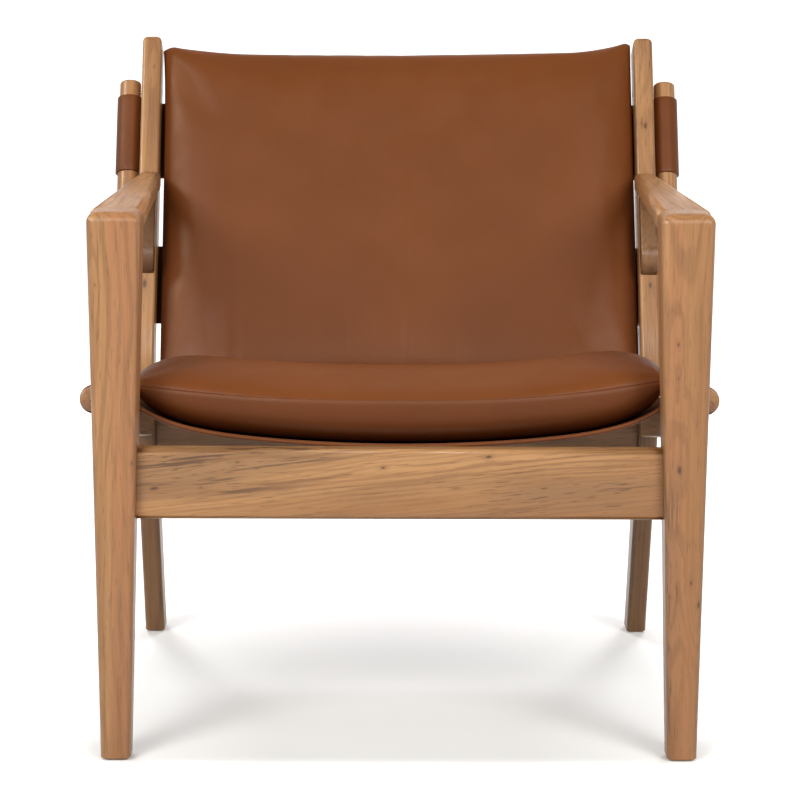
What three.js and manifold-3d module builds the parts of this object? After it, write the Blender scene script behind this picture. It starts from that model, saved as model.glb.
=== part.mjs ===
// Leather sling lounge chair: two solid wood side frames tied by a front and a rear rail, a leather seat
// sling and a leather back sling sleeved on round wooden poles, and two loose-filled leather cushions.
// Millimetres. X points to the viewer's right, Y from the front of the chair to its back, Z up.

import * as THREE from 'three';
import { mergeVertices } from 'three/addons/utils/BufferGeometryUtils.js';
import Module from 'manifold-3d';

const wasm = await Module();
wasm.setup();

// Fits, the reach of a cutter past the face it opens, and an edge left all but sharp
const FIT = 0.3;
const OVERRUN = 1;
const SHARP_EDGE = 0.01;

// Facets of round pieces
const POLE_SIDES = 28;
const SLEEVE_SIDES = 28;
const GLIDE_SIDES = 20;
const DOWEL_SIDES = 12;
const SCREW_SIDES = 12;

// Front legs: they taper from the arm down to the floor, and their front faces stand upright.
const ARM_HEIGHT = 628;
const LEG_TOP_WIDTH = 61.5;
const LEG_TOP_INSIDE_POST = 24.5;
const LEG_FOOT_WIDTH = 34;
const LEG_FOOT_INSIDE_POST = 6.5;
const LEG_TOP_DEPTH = 56;
const LEG_FOOT_DEPTH = 36;
const LEG_FRONT_EDGE_RADIUS = 8;
const LEG_BACK_EDGE_RADIUS = 3;
const LEG_TOP_RADIUS = 9;
const FOOT_CHAMFER = 2.5;

// Foot glides
const GLIDE_RADIUS = 7;
const GLIDE_PROUD = 1;
const GLIDE_RECESS = 3;

// Rear posts: a rear leg and an upright in one bent board. The knee is the corner of its two front lines.
const POST_INNER_X = 313;
const POST_THICKNESS = 25;
const POST_WIDTH = 48;
const POST_FOOT_TAPER = 2.5;
const POST_FOOT_FLARE = 3;
const POST_KNEE_DEPTH = 478;
const POST_KNEE_HEIGHT = 365;
const POST_FOOT_FRONT_DEPTH = 611;
const POST_FOOT_WIDTH = 44;
const POST_LOWER_WIDTH = 56;
const POST_KNEE_BEND = 80;
const POST_BACK_BEND = 60;
const POST_LENGTH_ABOVE_KNEE = 480;
const POST_EDGE_RADIUS = 5;
const POST_TOP_RADIUS = 8;
const BACK_LEAN = THREE.MathUtils.degToRad(27);

// Arms: level boards between the front legs and the posts, narrower at the back
const ARM_THICKNESS = 26;
const ARM_REAR_DROP = 9;
const ARM_INSIDE_POST = 4;
const ARM_EDGE_RADIUS = 9;
const ARM_END_EASE = 4;

// Blocks under the rear ends of the arms
const BLOCK_LENGTH = 112;
const BLOCK_DEPTH = 24;
const BLOCK_INSET = 1;
const BLOCK_EASE = 2.5;
const BLOCK_TOE = 26;

// Seat frame
const SEAT_SLOPE = THREE.MathUtils.degToRad(10);
const SEAT_POLE_FRONT_DEPTH = 60;
const SEAT_POLE_HEIGHT = 409;
const SIDE_RAIL_INSET = 1.5;
const SIDE_RAIL_THICKNESS = 19;
const SIDE_RAIL_HEIGHT = 46;
const SIDE_RAIL_ABOVE_POLE = 3;
const RAIL_EDGE_RADIUS = 3;
const FRONT_RAIL_BOTTOM = 278;
const FRONT_RAIL_HEIGHT = 81;
const FRONT_RAIL_SETBACK = 18;
const FRONT_RAIL_THICKNESS = 25;
const REAR_RAIL_BELOW_KNEE = 41;
const REAR_RAIL_HEIGHT = 70;
const REAR_RAIL_BEHIND_KNEE = 42;
const REAR_RAIL_THICKNESS = 25;

// Poles and the leather on them
const POLE_RADIUS = 14;
const POLE_END_RADIUS = 3;
const LEATHER = 2.5;
const SEAT_POLE_BEFORE_POST = 8.4;
const SEAT_SLING_FRONT_INSET = 4;
const SEAT_SLING_REAR_INSET = 14;
const SEAT_POLE_FRONT_BARE = 28;
const SEAT_POLE_REAR_BARE = 38;
const SEAT_SLING_SAG = 55;
const SEAT_SLING_SAG_POWER = 4.6;
const BACK_POLE_START = 62;
const BACK_POLE_LENGTH = 363;
const BACK_POLE_LOWER_BARE = 30;
const BACK_POLE_UPPER_BARE = 23;
const TAB_LENGTH = 107;
const BACK_SLING_BELOW_TABS = 52;
const BACK_SLING_ABOVE_TABS = 29;
const BACK_SLING_INSIDE_POST = 13;
const BACK_SLING_BULGE = 14;

// Cushions
const CUSHION_GAP = 0.6;
const SEAT_CUSHION_INSIDE_POST = 6;
const SEAT_CUSHION_FRONT = 0;
const SEAT_CUSHION_BEFORE_POST = 12.4;
const SEAT_CUSHION_FRONT_BOW = 20;
const SEAT_CUSHION_SEAM = 3;
const SEAT_CUSHION_SEAM_LIFT = 15;
const SEAT_CUSHION_SEAM_POWER = 2.5;
const SEAT_CUSHION_CROWN = 40;
const BACK_CUSHION_INSIDE_POST = 7;
const BACK_CUSHION_BOTTOM = -16;
const BACK_CUSHION_TOP = 468;
const BACK_CUSHION_TOP_DIP = 13;
const BACK_CUSHION_SIDE_DRAW = 3;
const BACK_CUSHION_SEAM = 24;
const BACK_CUSHION_CROWN = 30;
const CUSHION_EDGE_POWER = 7;

// Dowels and screws
const RAIL_DOWEL_RADIUS = 5;
const RAIL_DOWEL_SPACING = 36;
const RAIL_DOWEL_IN_RAIL = 30;
const RAIL_DOWEL_IN_FRAME = 19;
const SIDE_DOWEL_RADIUS = 4;
const SIDE_DOWEL_SPACING = 16;
const SIDE_DOWEL_BELOW_MIDDLE = 4;
const SIDE_DOWEL_IN_RAIL = 30;
const SIDE_DOWEL_IN_FRAME = 20;
const ARM_DOWEL_RADIUS = 4;
const ARM_DOWEL_SPACING = 26;
const ARM_DOWEL_IN_ARM = 32;
const ARM_DOWEL_IN_FRAME = 26;
const BLOCK_DOWEL_RADIUS = 3;
const BLOCK_DOWEL_SPACING = 44;
const BLOCK_DOWEL_IN_BLOCK = 15;
const BLOCK_DOWEL_IN_POST = 20;
const SCREW_RADIUS = 2.2;
const SCREW_HEAD_RADIUS = 4.5;
const SCREW_HEAD_HEIGHT = 3;
const SCREW_END_MARGIN = 14;
const SEAT_SCREW_BELOW_POLE = 6;

// Places worked out from the sizes above
const POST_OUTER_X = POST_INNER_X + POST_THICKNESS;
const POST_MIDDLE_X = POST_INNER_X + POST_THICKNESS / 2;
const LEG_TOP_INNER_X = POST_INNER_X - LEG_TOP_INSIDE_POST;
const LEG_TOP_OUTER_X = LEG_TOP_INNER_X + LEG_TOP_WIDTH;
const LEG_FOOT_INNER_X = POST_INNER_X - LEG_FOOT_INSIDE_POST;
const LEG_FOOT_OUTER_X = LEG_FOOT_INNER_X + LEG_FOOT_WIDTH;
const ARM_REAR_INNER_X = POST_INNER_X - ARM_INSIDE_POST;
const RAIL_INNER_X = POST_INNER_X + SIDE_RAIL_INSET;
const RAIL_OUTER_X = RAIL_INNER_X + SIDE_RAIL_THICKNESS;
const RAIL_MIDDLE_X = RAIL_INNER_X + SIDE_RAIL_THICKNESS / 2;
const SLEEVE_BORE = POLE_RADIUS + FIT;
const SLEEVE_RADIUS = SLEEVE_BORE + LEATHER;
const SEAT_POLE_X = RAIL_OUTER_X + FIT + SLEEVE_RADIUS;
const BACK_POLE_X = POST_OUTER_X + FIT + SLEEVE_RADIUS;
const BACK_POLE_Y = FIT + LEATHER - SLEEVE_RADIUS;
const REAR_RAIL_BOTTOM = POST_KNEE_HEIGHT - REAR_RAIL_BELOW_KNEE - REAR_RAIL_HEIGHT;
const REAR_RAIL_DEPTH = POST_KNEE_DEPTH + REAR_RAIL_BEHIND_KNEE;
const SEAT_REACH = (POST_KNEE_DEPTH - SEAT_POLE_FRONT_DEPTH) / Math.cos(SEAT_SLOPE);
const SEAT_POLE_LENGTH = SEAT_REACH - SEAT_POLE_BEFORE_POST;
const SEAT_SLING_LENGTH = SEAT_POLE_LENGTH - SEAT_SLING_FRONT_INSET - SEAT_SLING_REAR_INSET;
const SEAT_SLEEVE_LENGTH = SEAT_POLE_LENGTH - SEAT_POLE_FRONT_BARE - SEAT_POLE_REAR_BARE;
const SEAT_CUSHION_HALF_WIDTH = POST_INNER_X - SEAT_CUSHION_INSIDE_POST;
const SEAT_CUSHION_REAR = SEAT_REACH - SEAT_CUSHION_BEFORE_POST;
const BACK_POLE_END = BACK_POLE_START + BACK_POLE_LENGTH;
const LOW_TAB_START = BACK_POLE_START + BACK_POLE_LOWER_BARE;
const HIGH_TAB_START = BACK_POLE_END - BACK_POLE_UPPER_BARE - TAB_LENGTH;
const BACK_SLING_START = LOW_TAB_START - BACK_SLING_BELOW_TABS;
const BACK_SLING_END = HIGH_TAB_START + TAB_LENGTH + BACK_SLING_ABOVE_TABS;
const BACK_SLING_HALF_WIDTH = POST_INNER_X - BACK_SLING_INSIDE_POST;
const BACK_CUSHION_HALF_WIDTH = POST_INNER_X - BACK_CUSHION_INSIDE_POST;
const { lerp, clamp } = THREE.MathUtils;
const quarterRound = [0, 1, 2, 3].map((step) => (step * Math.PI) / 6);
const equalRadii = (radius) => [radius, radius, radius, radius];

// Two slanted frames: the seat frame runs down to the back along the seat poles, and the back frame
// runs up along the straight back faces of the posts, with its Y pointing backwards out of them.
const seat = new THREE.Group();
seat.position.set(0, SEAT_POLE_FRONT_DEPTH, SEAT_POLE_HEIGHT);
seat.rotation.x = -SEAT_SLOPE;
seat.updateMatrix();
const back = new THREE.Group();
back.position.set(
  0,
  POST_KNEE_DEPTH + POST_WIDTH * Math.cos(BACK_LEAN),
  POST_KNEE_HEIGHT - POST_WIDTH * Math.sin(BACK_LEAN),
);
back.rotation.x = -BACK_LEAN;
back.updateMatrix();
const fromSeat = (x, y, z) => new THREE.Vector3(x, y, z).applyMatrix4(seat.matrix);
const fromBack = (x, y, z) => new THREE.Vector3(x, y, z).applyMatrix4(back.matrix);

// Lines of the frame
const legInnerX = (z) => lerp(LEG_FOOT_INNER_X, LEG_TOP_INNER_X, z / ARM_HEIGHT);
const legOuterX = (z) => lerp(LEG_FOOT_OUTER_X, LEG_TOP_OUTER_X, z / ARM_HEIGHT);
const legBackY = (z) => lerp(LEG_FOOT_DEPTH, LEG_TOP_DEPTH, z / ARM_HEIGHT);
const belowKnee = (z) => clamp(1 - z / POST_KNEE_HEIGHT, 0, 1);
const postInnerX = (z) => POST_INNER_X - POST_FOOT_FLARE * belowKnee(z);
const postOuterX = (z) => POST_OUTER_X - POST_FOOT_TAPER * belowKnee(z);
const uprightFrontY = (z) => POST_KNEE_DEPTH + (z - POST_KNEE_HEIGHT) * Math.tan(BACK_LEAN);

// Closed mesh from points and triangles, turned so that its faces point out
function closedMesh(points, triangles) {
  let volume = 0;
  for (const [a, b, c] of triangles) {
    volume += points[a].dot(new THREE.Vector3().crossVectors(points[b], points[c]));
  }
  const turned = volume < 0 ? triangles.map(([a, b, c]) => [a, c, b]) : triangles;
  const geometry = new THREE.BufferGeometry().setFromPoints(points);
  geometry.setIndex(turned.flat());
  return geometry;
}

// Skin over a row of rings with equal point counts, with a fan on each end
function loft(rings) {
  const count = rings[0].length;
  const points = rings.flat();
  const triangles = [];
  for (let r = 0; r + 1 < rings.length; r += 1) {
    for (let i = 0; i < count; i += 1) {
      const a = r * count + i;
      const b = r * count + ((i + 1) % count);
      triangles.push([a, b, b + count], [a, b + count, a + count]);
    }
  }
  for (const r of [0, rings.length - 1]) {
    const middle = rings[r].reduce((sum, p) => sum.add(p), new THREE.Vector3()).divideScalar(count);
    points.push(middle);
    for (let i = 0; i < count; i += 1) {
      const pair = [r * count + i, r * count + ((i + 1) % count)];
      triangles.push(r === 0 ? [points.length - 1, pair[1], pair[0]] : [points.length - 1, ...pair]);
    }
  }
  return closedMesh(points, triangles);
}

// Rectangle with rounded corners, as [u, v] pairs; the four radii start at the corner of low u and low v
function roundedSection(u0, u1, v0, v1, radii, steps = 3) {
  const corners = [[u0, v0, 1, 1], [u1, v0, -1, 1], [u1, v1, -1, -1], [u0, v1, 1, -1]];
  return corners.flatMap(([u, v, du, dv], corner) => {
    const radius = radii[corner];
    return Array.from({ length: steps + 1 }, (_, step) => {
      const angle = Math.PI + ((corner + step / steps) * Math.PI) / 2;
      return [u + radius * (du + Math.cos(angle)), v + radius * (dv + Math.sin(angle))];
    });
  });
}

// Round bar between two points
function rod(from, to, radius, sides) {
  const geometry = new THREE.CylinderGeometry(radius, radius, from.distanceTo(to), sides);
  const along = new THREE.Vector3().subVectors(to, from).normalize();
  geometry.applyQuaternion(new THREE.Quaternion().setFromUnitVectors(new THREE.Vector3(0, 1, 0), along));
  const middle = from.clone().lerp(to, 0.5);
  return geometry.translate(middle.x, middle.y, middle.z);
}

// Only positions are kept, so that shared corners merge
function plain(geometry) {
  const copy = geometry.clone();
  copy.deleteAttribute('normal');
  copy.deleteAttribute('uv');
  return mergeVertices(copy);
}

function solidOf(geometry) {
  const { attributes, index } = plain(geometry);
  const vertProperties = Float32Array.from(attributes.position.array);
  const triVerts = Uint32Array.from(index.array);
  return new wasm.Manifold(new wasm.Mesh({ numProp: 3, vertProperties, triVerts }));
}

function geometryOf(solid) {
  const { vertProperties, triVerts } = solid.getMesh();
  const geometry = new THREE.BufferGeometry();
  geometry.setAttribute('position', new THREE.BufferAttribute(Float32Array.from(vertProperties), 3));
  geometry.setIndex(Array.from(triVerts));
  return geometry;
}

const cut = (body, cutters) => geometryOf(cutters.reduce((s, c) => s.subtract(solidOf(c)), solidOf(body)));
const joined = (bodies) => geometryOf(bodies.map(solidOf).reduce((a, b) => a.add(b)));

// The same piece on the other side of the chair
function mirrored(geometry) {
  const copy = plain(geometry).scale(-1, 1, 1);
  const flipped = Array.from(copy.index.array);
  for (let i = 0; i < flipped.length; i += 3) {
    [flipped[i + 1], flipped[i + 2]] = [flipped[i + 2], flipped[i + 1]];
  }
  copy.setIndex(flipped);
  return copy;
}

// A pin is a dowel: its two ends and its radius. Its hole is wider and deeper by the fit.
const dowel = (pin) => rod(pin.from, pin.to, pin.radius, DOWEL_SIDES);
function hole(pin) {
  const along = new THREE.Vector3().subVectors(pin.to, pin.from).setLength(FIT);
  return rod(pin.from.clone().sub(along), pin.to.clone().add(along), pin.radius + FIT, DOWEL_SIDES);
}

// A screw lies along X with its head, sunk flush, on the inner face of the frame.
function steppedRod({ at, tipX }, reach, grow) {
  const place = (x) => at.clone().setX(x);
  const head = rod(
    place(at.x - reach),
    place(at.x + SCREW_HEAD_HEIGHT + grow),
    SCREW_HEAD_RADIUS + grow,
    SCREW_SIDES,
  );
  const shankStart = place(at.x + SCREW_HEAD_HEIGHT / 2);
  const shank = rod(shankStart, place(tipX + grow), SCREW_RADIUS + grow, SCREW_SIDES);
  return joined([head, shank]);
}
const screw = (place) => steppedRod(place, 0, 0);
const screwHole = (place) => steppedRod(place, OVERRUN, FIT);

// Dowels and screws of the right-hand side frame
const frontRailMiddle = FRONT_RAIL_BOTTOM + FRONT_RAIL_HEIGHT / 2;
const rearRailMiddle = REAR_RAIL_BOTTOM + REAR_RAIL_HEIGHT / 2;
const sideRailMiddle = SIDE_RAIL_ABOVE_POLE - SIDE_RAIL_HEIGHT / 2;
const armMiddle = (depth) => {
  const drop = ARM_REAR_DROP * ((depth - LEG_TOP_DEPTH) / (uprightFrontY(ARM_HEIGHT) - LEG_TOP_DEPTH));
  return ARM_HEIGHT - ARM_THICKNESS / 2 - drop;
};
const spread = (spacing) => [-spacing / 2, spacing / 2];

const frontRailPins = spread(RAIL_DOWEL_SPACING).map((offset) => {
  const z = frontRailMiddle + offset;
  const y = FRONT_RAIL_SETBACK + FRONT_RAIL_THICKNESS / 2;
  const from = new THREE.Vector3(legInnerX(z) - RAIL_DOWEL_IN_RAIL, y, z);
  return { from, to: from.clone().setX(legInnerX(z) + RAIL_DOWEL_IN_FRAME), radius: RAIL_DOWEL_RADIUS };
});
const rearRailPins = spread(RAIL_DOWEL_SPACING).map((offset) => {
  const z = rearRailMiddle + offset;
  const y = REAR_RAIL_DEPTH + REAR_RAIL_THICKNESS / 2;
  const from = new THREE.Vector3(POST_INNER_X - RAIL_DOWEL_IN_RAIL, y, z);
  return { from, to: from.clone().setX(POST_INNER_X + RAIL_DOWEL_IN_FRAME), radius: RAIL_DOWEL_RADIUS };
});

// Where the slanted side rail meets the leg and the knee of the post, measured along the seat frame
const railFrontY = (z) => {
  const height = fromSeat(0, 0, z).z;
  return (legBackY(height) - fromSeat(0, 0, z).y) / Math.cos(SEAT_SLOPE);
};
const lowerFrontY = (z) => lerp(POST_FOOT_FRONT_DEPTH, POST_KNEE_DEPTH, z / POST_KNEE_HEIGHT);
const railRearMeet = (z) => {
  const height = fromSeat(0, SEAT_REACH, z).z;
  return (lowerFrontY(height) - SEAT_POLE_FRONT_DEPTH) / Math.cos(SEAT_SLOPE);
};
const sideRailPins = spread(SIDE_DOWEL_SPACING).flatMap((offset) => {
  const z = sideRailMiddle - SIDE_DOWEL_BELOW_MIDDLE + offset;
  const front = railFrontY(z);
  const rear = railRearMeet(z);
  return [[front - SIDE_DOWEL_IN_FRAME, front + SIDE_DOWEL_IN_RAIL],
    [rear - SIDE_DOWEL_IN_RAIL, rear + SIDE_DOWEL_IN_FRAME]].map(([y0, y1]) => ({
    from: fromSeat(RAIL_MIDDLE_X, y0, z),
    to: fromSeat(RAIL_MIDDLE_X, y1, z),
    radius: SIDE_DOWEL_RADIUS,
  }));
});
const armRearDepth = uprightFrontY(ARM_HEIGHT - ARM_REAR_DROP - ARM_THICKNESS / 2);
const armFrontPins = spread(ARM_DOWEL_SPACING).map((offset) => {
  const x = (LEG_TOP_INNER_X + LEG_TOP_OUTER_X) / 2 + offset;
  const from = new THREE.Vector3(x, LEG_TOP_DEPTH - ARM_DOWEL_IN_FRAME, armMiddle(LEG_TOP_DEPTH));
  return { from, to: from.clone().setY(LEG_TOP_DEPTH + ARM_DOWEL_IN_ARM), radius: ARM_DOWEL_RADIUS };
});
const armRearPin = {
  from: new THREE.Vector3(POST_MIDDLE_X, armRearDepth - ARM_DOWEL_IN_ARM, armMiddle(armRearDepth)),
  to: new THREE.Vector3(POST_MIDDLE_X, armRearDepth + ARM_DOWEL_IN_FRAME, armMiddle(armRearDepth)),
  radius: ARM_DOWEL_RADIUS,
};
const armPins = [...armFrontPins, armRearPin];
const blockTop = ARM_HEIGHT - ARM_REAR_DROP - ARM_THICKNESS;
const blockMiddleAlong = (blockTop - POST_KNEE_HEIGHT) / Math.cos(BACK_LEAN) - BLOCK_LENGTH / 2;
const blockPins = spread(BLOCK_DOWEL_SPACING).map((offset) => ({
  from: fromBack(POST_MIDDLE_X, -POST_WIDTH - BLOCK_DOWEL_IN_BLOCK, blockMiddleAlong + offset),
  to: fromBack(POST_MIDDLE_X, -POST_WIDTH + BLOCK_DOWEL_IN_POST, blockMiddleAlong + offset),
  radius: BLOCK_DOWEL_RADIUS,
}));
const seatScrews = [SCREW_END_MARGIN, SEAT_POLE_LENGTH - SCREW_END_MARGIN].map((y) => ({
  at: fromSeat(RAIL_INNER_X, y, -SEAT_SCREW_BELOW_POLE),
  tipX: SEAT_POLE_X,
}));
const backScrews = [BACK_POLE_START + SCREW_END_MARGIN, BACK_POLE_END - SCREW_END_MARGIN].map((z) => ({
  at: fromBack(POST_INNER_X, BACK_POLE_Y, z),
  tipX: BACK_POLE_X,
}));

// Glides under the feet, as [x, y] centres on the right-hand side
const frontGlide = [(LEG_FOOT_INNER_X + LEG_FOOT_OUTER_X) / 2, LEG_FOOT_DEPTH / 2];
const rearGlide = [(postInnerX(0) + postOuterX(0)) / 2, POST_FOOT_FRONT_DEPTH + POST_FOOT_WIDTH / 2];
function glide([x, y], grow) {
  const top = GLIDE_PROUD + GLIDE_RECESS + grow;
  return rod(new THREE.Vector3(x, y, 0), new THREE.Vector3(x, y, top), GLIDE_RADIUS + grow, GLIDE_SIDES);
}

// Front leg: level rings from the floor up, with a rounded top that stays square where the arm joins it
function frontLeg() {
  const ring = (z, inset, backInset) => roundedSection(
    legInnerX(z) + inset,
    legOuterX(z) - inset,
    inset,
    legBackY(z) - backInset,
    [LEG_FRONT_EDGE_RADIUS, LEG_FRONT_EDGE_RADIUS, LEG_BACK_EDGE_RADIUS, LEG_BACK_EDGE_RADIUS],
  ).map(([x, y]) => new THREE.Vector3(x, y, z));
  const rings = [
    ring(GLIDE_PROUD, FOOT_CHAMFER, FOOT_CHAMFER),
    ring(GLIDE_PROUD + FOOT_CHAMFER, 0, 0),
  ];
  for (const angle of quarterRound) {
    const inset = LEG_TOP_RADIUS * (1 - Math.cos(angle));
    rings.push(ring(ARM_HEIGHT - LEG_TOP_RADIUS * (1 - Math.sin(angle)), inset, 0));
  }
  return loft(rings);
}

// Side view of the post: matching points along its front and back edges, as [depth, height]
function postEdges() {
  const up = new THREE.Vector2(Math.sin(BACK_LEAN), Math.cos(BACK_LEAN));
  const out = new THREE.Vector2(Math.cos(BACK_LEAN), -Math.sin(BACK_LEAN));
  const knee = new THREE.Vector2(POST_KNEE_DEPTH, POST_KNEE_HEIGHT);
  const foot = new THREE.Vector2(POST_FOOT_FRONT_DEPTH, GLIDE_PROUD);
  const footBack = new THREE.Vector2(POST_FOOT_FRONT_DEPTH + POST_FOOT_WIDTH, GLIDE_PROUD);
  const down = foot.clone().sub(knee).normalize();
  const lowerOut = new THREE.Vector2(-down.y, down.x);
  const lowerBack = knee.clone().addScaledVector(lowerOut, POST_LOWER_WIDTH);
  const downBack = footBack.clone().sub(lowerBack).normalize();
  const upperBack = knee.clone().addScaledVector(out, POST_WIDTH);
  const gap = upperBack.clone().sub(lowerBack);
  const along = gap.cross(up) / downBack.cross(up);
  const kneeBack = lowerBack.clone().addScaledVector(downBack, along);
  const edge = (bottom, toFoot, corner, bend, top) => [
    bottom,
    ...new THREE.QuadraticBezierCurve(
      corner.clone().addScaledVector(toFoot, bend),
      corner,
      corner.clone().addScaledVector(up, bend),
    ).getPoints(8),
    top,
  ];
  const topFront = knee.clone().addScaledVector(up, POST_LENGTH_ABOVE_KNEE);
  const topBack = upperBack.clone().addScaledVector(up, POST_LENGTH_ABOVE_KNEE);
  return {
    front: edge(foot, down, knee, POST_KNEE_BEND, topFront),
    back: edge(footBack, downBack, kneeBack, POST_BACK_BEND, topBack),
    up,
  };
}

// Rear post: rings across the board from its front edge to its back edge
function rearPost(edgeRadius, grow) {
  const { front, back: rear, up } = postEdges();
  const ring = (f, b, inset, rise) => {
    const across = b.clone().sub(f).normalize();
    const start = f.clone().addScaledVector(across, inset - grow).addScaledVector(up, rise);
    const width = f.distanceTo(b) - 2 * (inset - grow);
    const radius = Math.max(edgeRadius - inset / 2, SHARP_EDGE);
    const section = roundedSection(
      postInnerX(f.y) + inset - grow,
      postOuterX(f.y) - inset + grow,
      0,
      width,
      equalRadii(radius),
    );
    return section.map(([x, v]) => new THREE.Vector3(x, start.x + across.x * v, start.y + across.y * v));
  };
  const rings = [];
  const last = front.length - 1;
  for (let i = 0; i < last; i += 1) {
    rings.push(ring(front[i], rear[i], i === 0 ? FOOT_CHAMFER : 0, 0));
    if (i === 0) {
      const lift = FOOT_CHAMFER / front[0].distanceTo(front[1]);
      rings.push(ring(front[0].clone().lerp(front[1], lift), rear[0].clone().lerp(rear[1], lift), 0, 0));
    }
  }
  for (const angle of quarterRound) {
    const inset = POST_TOP_RADIUS * (1 - Math.cos(angle));
    rings.push(ring(front[last], rear[last], inset, -POST_TOP_RADIUS * (1 - Math.sin(angle))));
  }
  return loft(rings);
}

// Arm: upright rings from the slanted back of the leg to the slanted front of the post
function arm() {
  const ring = (t, inset) => {
    const top = ARM_HEIGHT - ARM_REAR_DROP * t;
    const section = roundedSection(
      lerp(LEG_TOP_INNER_X, ARM_REAR_INNER_X, t) + inset,
      lerp(LEG_TOP_OUTER_X, POST_OUTER_X, t) - inset,
      top - ARM_THICKNESS + inset,
      top - inset,
      equalRadii(ARM_EDGE_RADIUS - inset / 2),
    );
    return section.map(([x, z]) => {
      const start = legBackY(z) + FIT;
      const end = uprightFrontY(z) - FIT / Math.cos(BACK_LEAN);
      return new THREE.Vector3(x, lerp(start, end, t), z);
    });
  };
  const easing = ARM_END_EASE / (armRearDepth - LEG_TOP_DEPTH);
  const eased = quarterRound.map((angle) => ring(
    1 - easing * (1 - Math.sin(angle)),
    ARM_END_EASE * (1 - Math.cos(angle)),
  ));
  return loft([ring(0, 0), ...eased]);
}

// Block under the arm: its side view lies against the post, with a rounded toe, and is as thick as the post
function armBlock() {
  const armUnder = (y) => armMiddle(y) - ARM_THICKNESS / 2 - FIT - BLOCK_EASE;
  const clear = -POST_WIDTH - FIT - BLOCK_EASE;
  const alongTop = (blockTop - POST_KNEE_HEIGHT) / Math.cos(BACK_LEAN);
  const bottom = fromBack(0, clear, alongTop - BLOCK_LENGTH);
  const slope = Math.tan(BACK_LEAN);
  const topY = bottom.y + (armUnder(bottom.y) - bottom.z) * slope;
  const reach = BLOCK_DEPTH - 2 * BLOCK_EASE;
  const toe = fromBack(0, clear - reach, alongTop - BLOCK_LENGTH + BLOCK_TOE);
  const outline = new THREE.Shape();
  outline.moveTo(bottom.y, bottom.z);
  outline.lineTo(topY, armUnder(topY));
  outline.lineTo(topY - reach / Math.cos(BACK_LEAN), armUnder(topY - reach));
  outline.lineTo(toe.y, toe.z);
  outline.quadraticCurveTo(
    fromBack(0, clear - reach, alongTop - BLOCK_LENGTH).y,
    fromBack(0, clear - reach, alongTop - BLOCK_LENGTH).z,
    bottom.y,
    bottom.z,
  );
  const geometry = new THREE.ExtrudeGeometry(outline, {
    depth: POST_THICKNESS - 2 * (BLOCK_INSET + BLOCK_EASE),
    bevelThickness: BLOCK_EASE,
    bevelSize: BLOCK_EASE,
    bevelSegments: 2,
    curveSegments: 6,
  });
  const [sideways, backwards, upwards] = [0, 1, 2].map((i) => new THREE.Vector3().setComponent(i, 1));
  geometry.applyMatrix4(new THREE.Matrix4().makeBasis(backwards, upwards, sideways));
  return geometry.translate(POST_INNER_X + BLOCK_INSET + BLOCK_EASE, 0, 0);
}

// Side rail, from the leg to beyond the front line of the post, where the post trims it
function sideRail() {
  const overrun = railRearMeet(sideRailMiddle) + SIDE_DOWEL_IN_FRAME;
  const section = roundedSection(
    RAIL_INNER_X,
    RAIL_OUTER_X,
    SIDE_RAIL_ABOVE_POLE - SIDE_RAIL_HEIGHT,
    SIDE_RAIL_ABOVE_POLE,
    equalRadii(RAIL_EDGE_RADIUS),
  );
  const front = section.map(([x, z]) => fromSeat(x, railFrontY(z) + FIT, z));
  const rear = section.map(([x, z]) => fromSeat(x, overrun, z));
  return cut(loft([front, rear]), [rearPost(SHARP_EDGE, FIT)]);
}

// Cross rail between the two side frames, with ends that follow a slanted inner face
function crossRail(faceX, { depth, thickness, bottom, height }) {
  const radii = equalRadii(RAIL_EDGE_RADIUS);
  const section = roundedSection(depth, depth + thickness, bottom, bottom + height, radii);
  const end = (side) => section.map(([y, z]) => new THREE.Vector3(side * (faceX(z) - FIT), y, z));
  return loft([end(-1), end(1)]);
}

// Round pole along Z with eased ends
function pole(length) {
  const profile = new THREE.Path();
  profile.moveTo(0, 0);
  profile.lineTo(POLE_RADIUS - POLE_END_RADIUS, 0);
  profile.quadraticCurveTo(POLE_RADIUS, 0, POLE_RADIUS, POLE_END_RADIUS);
  profile.lineTo(POLE_RADIUS, length - POLE_END_RADIUS);
  profile.quadraticCurveTo(POLE_RADIUS, length, POLE_RADIUS - POLE_END_RADIUS, length);
  profile.lineTo(0, length);
  return new THREE.LatheGeometry(profile.getPoints(3), POLE_SIDES).rotateX(Math.PI / 2);
}

// Ring of leather round a pole that runs along Z, at x and y
function sleeve(x, y, start, length) {
  const outline = new THREE.Shape().absarc(x, y, SLEEVE_RADIUS, 0, 2 * Math.PI, false);
  outline.holes.push(new THREE.Path().absarc(x, y, SLEEVE_BORE, 0, 2 * Math.PI, true));
  return new THREE.ExtrudeGeometry(outline, {
    depth: length,
    bevelEnabled: false,
    curveSegments: SLEEVE_SIDES / 2,
  }).translate(0, 0, start);
}

// Place from -1 to 1 of one step out of many, with the steps closer together towards both ends
const easedPlace = (step, steps) => Math.sin((step / steps - 0.5) * Math.PI);

// Sheet of leather whose section is given by the height of its lower face, run along Z
function sheet(lowerFace, halfWidth, start, length, steps) {
  const places = Array.from({ length: steps + 1 }, (_, step) => halfWidth * easedPlace(step, steps));
  const lower = places.map((x) => new THREE.Vector2(x, lowerFace(x)));
  const upper = lower.map((p) => new THREE.Vector2(p.x, p.y + LEATHER)).reverse();
  const outline = new THREE.Shape([...lower, ...upper]);
  return new THREE.ExtrudeGeometry(outline, { depth: length, bevelEnabled: false }).translate(0, 0, start);
}

// Block that clears one side of a sheet beyond a width, between two places along it
function clearance(x, start, end) {
  const block = new THREE.BoxGeometry(2 * BACK_POLE_X, 8 * SLEEVE_RADIUS, end - start);
  return block.translate(x + BACK_POLE_X, 0, (start + end) / 2);
}

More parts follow.
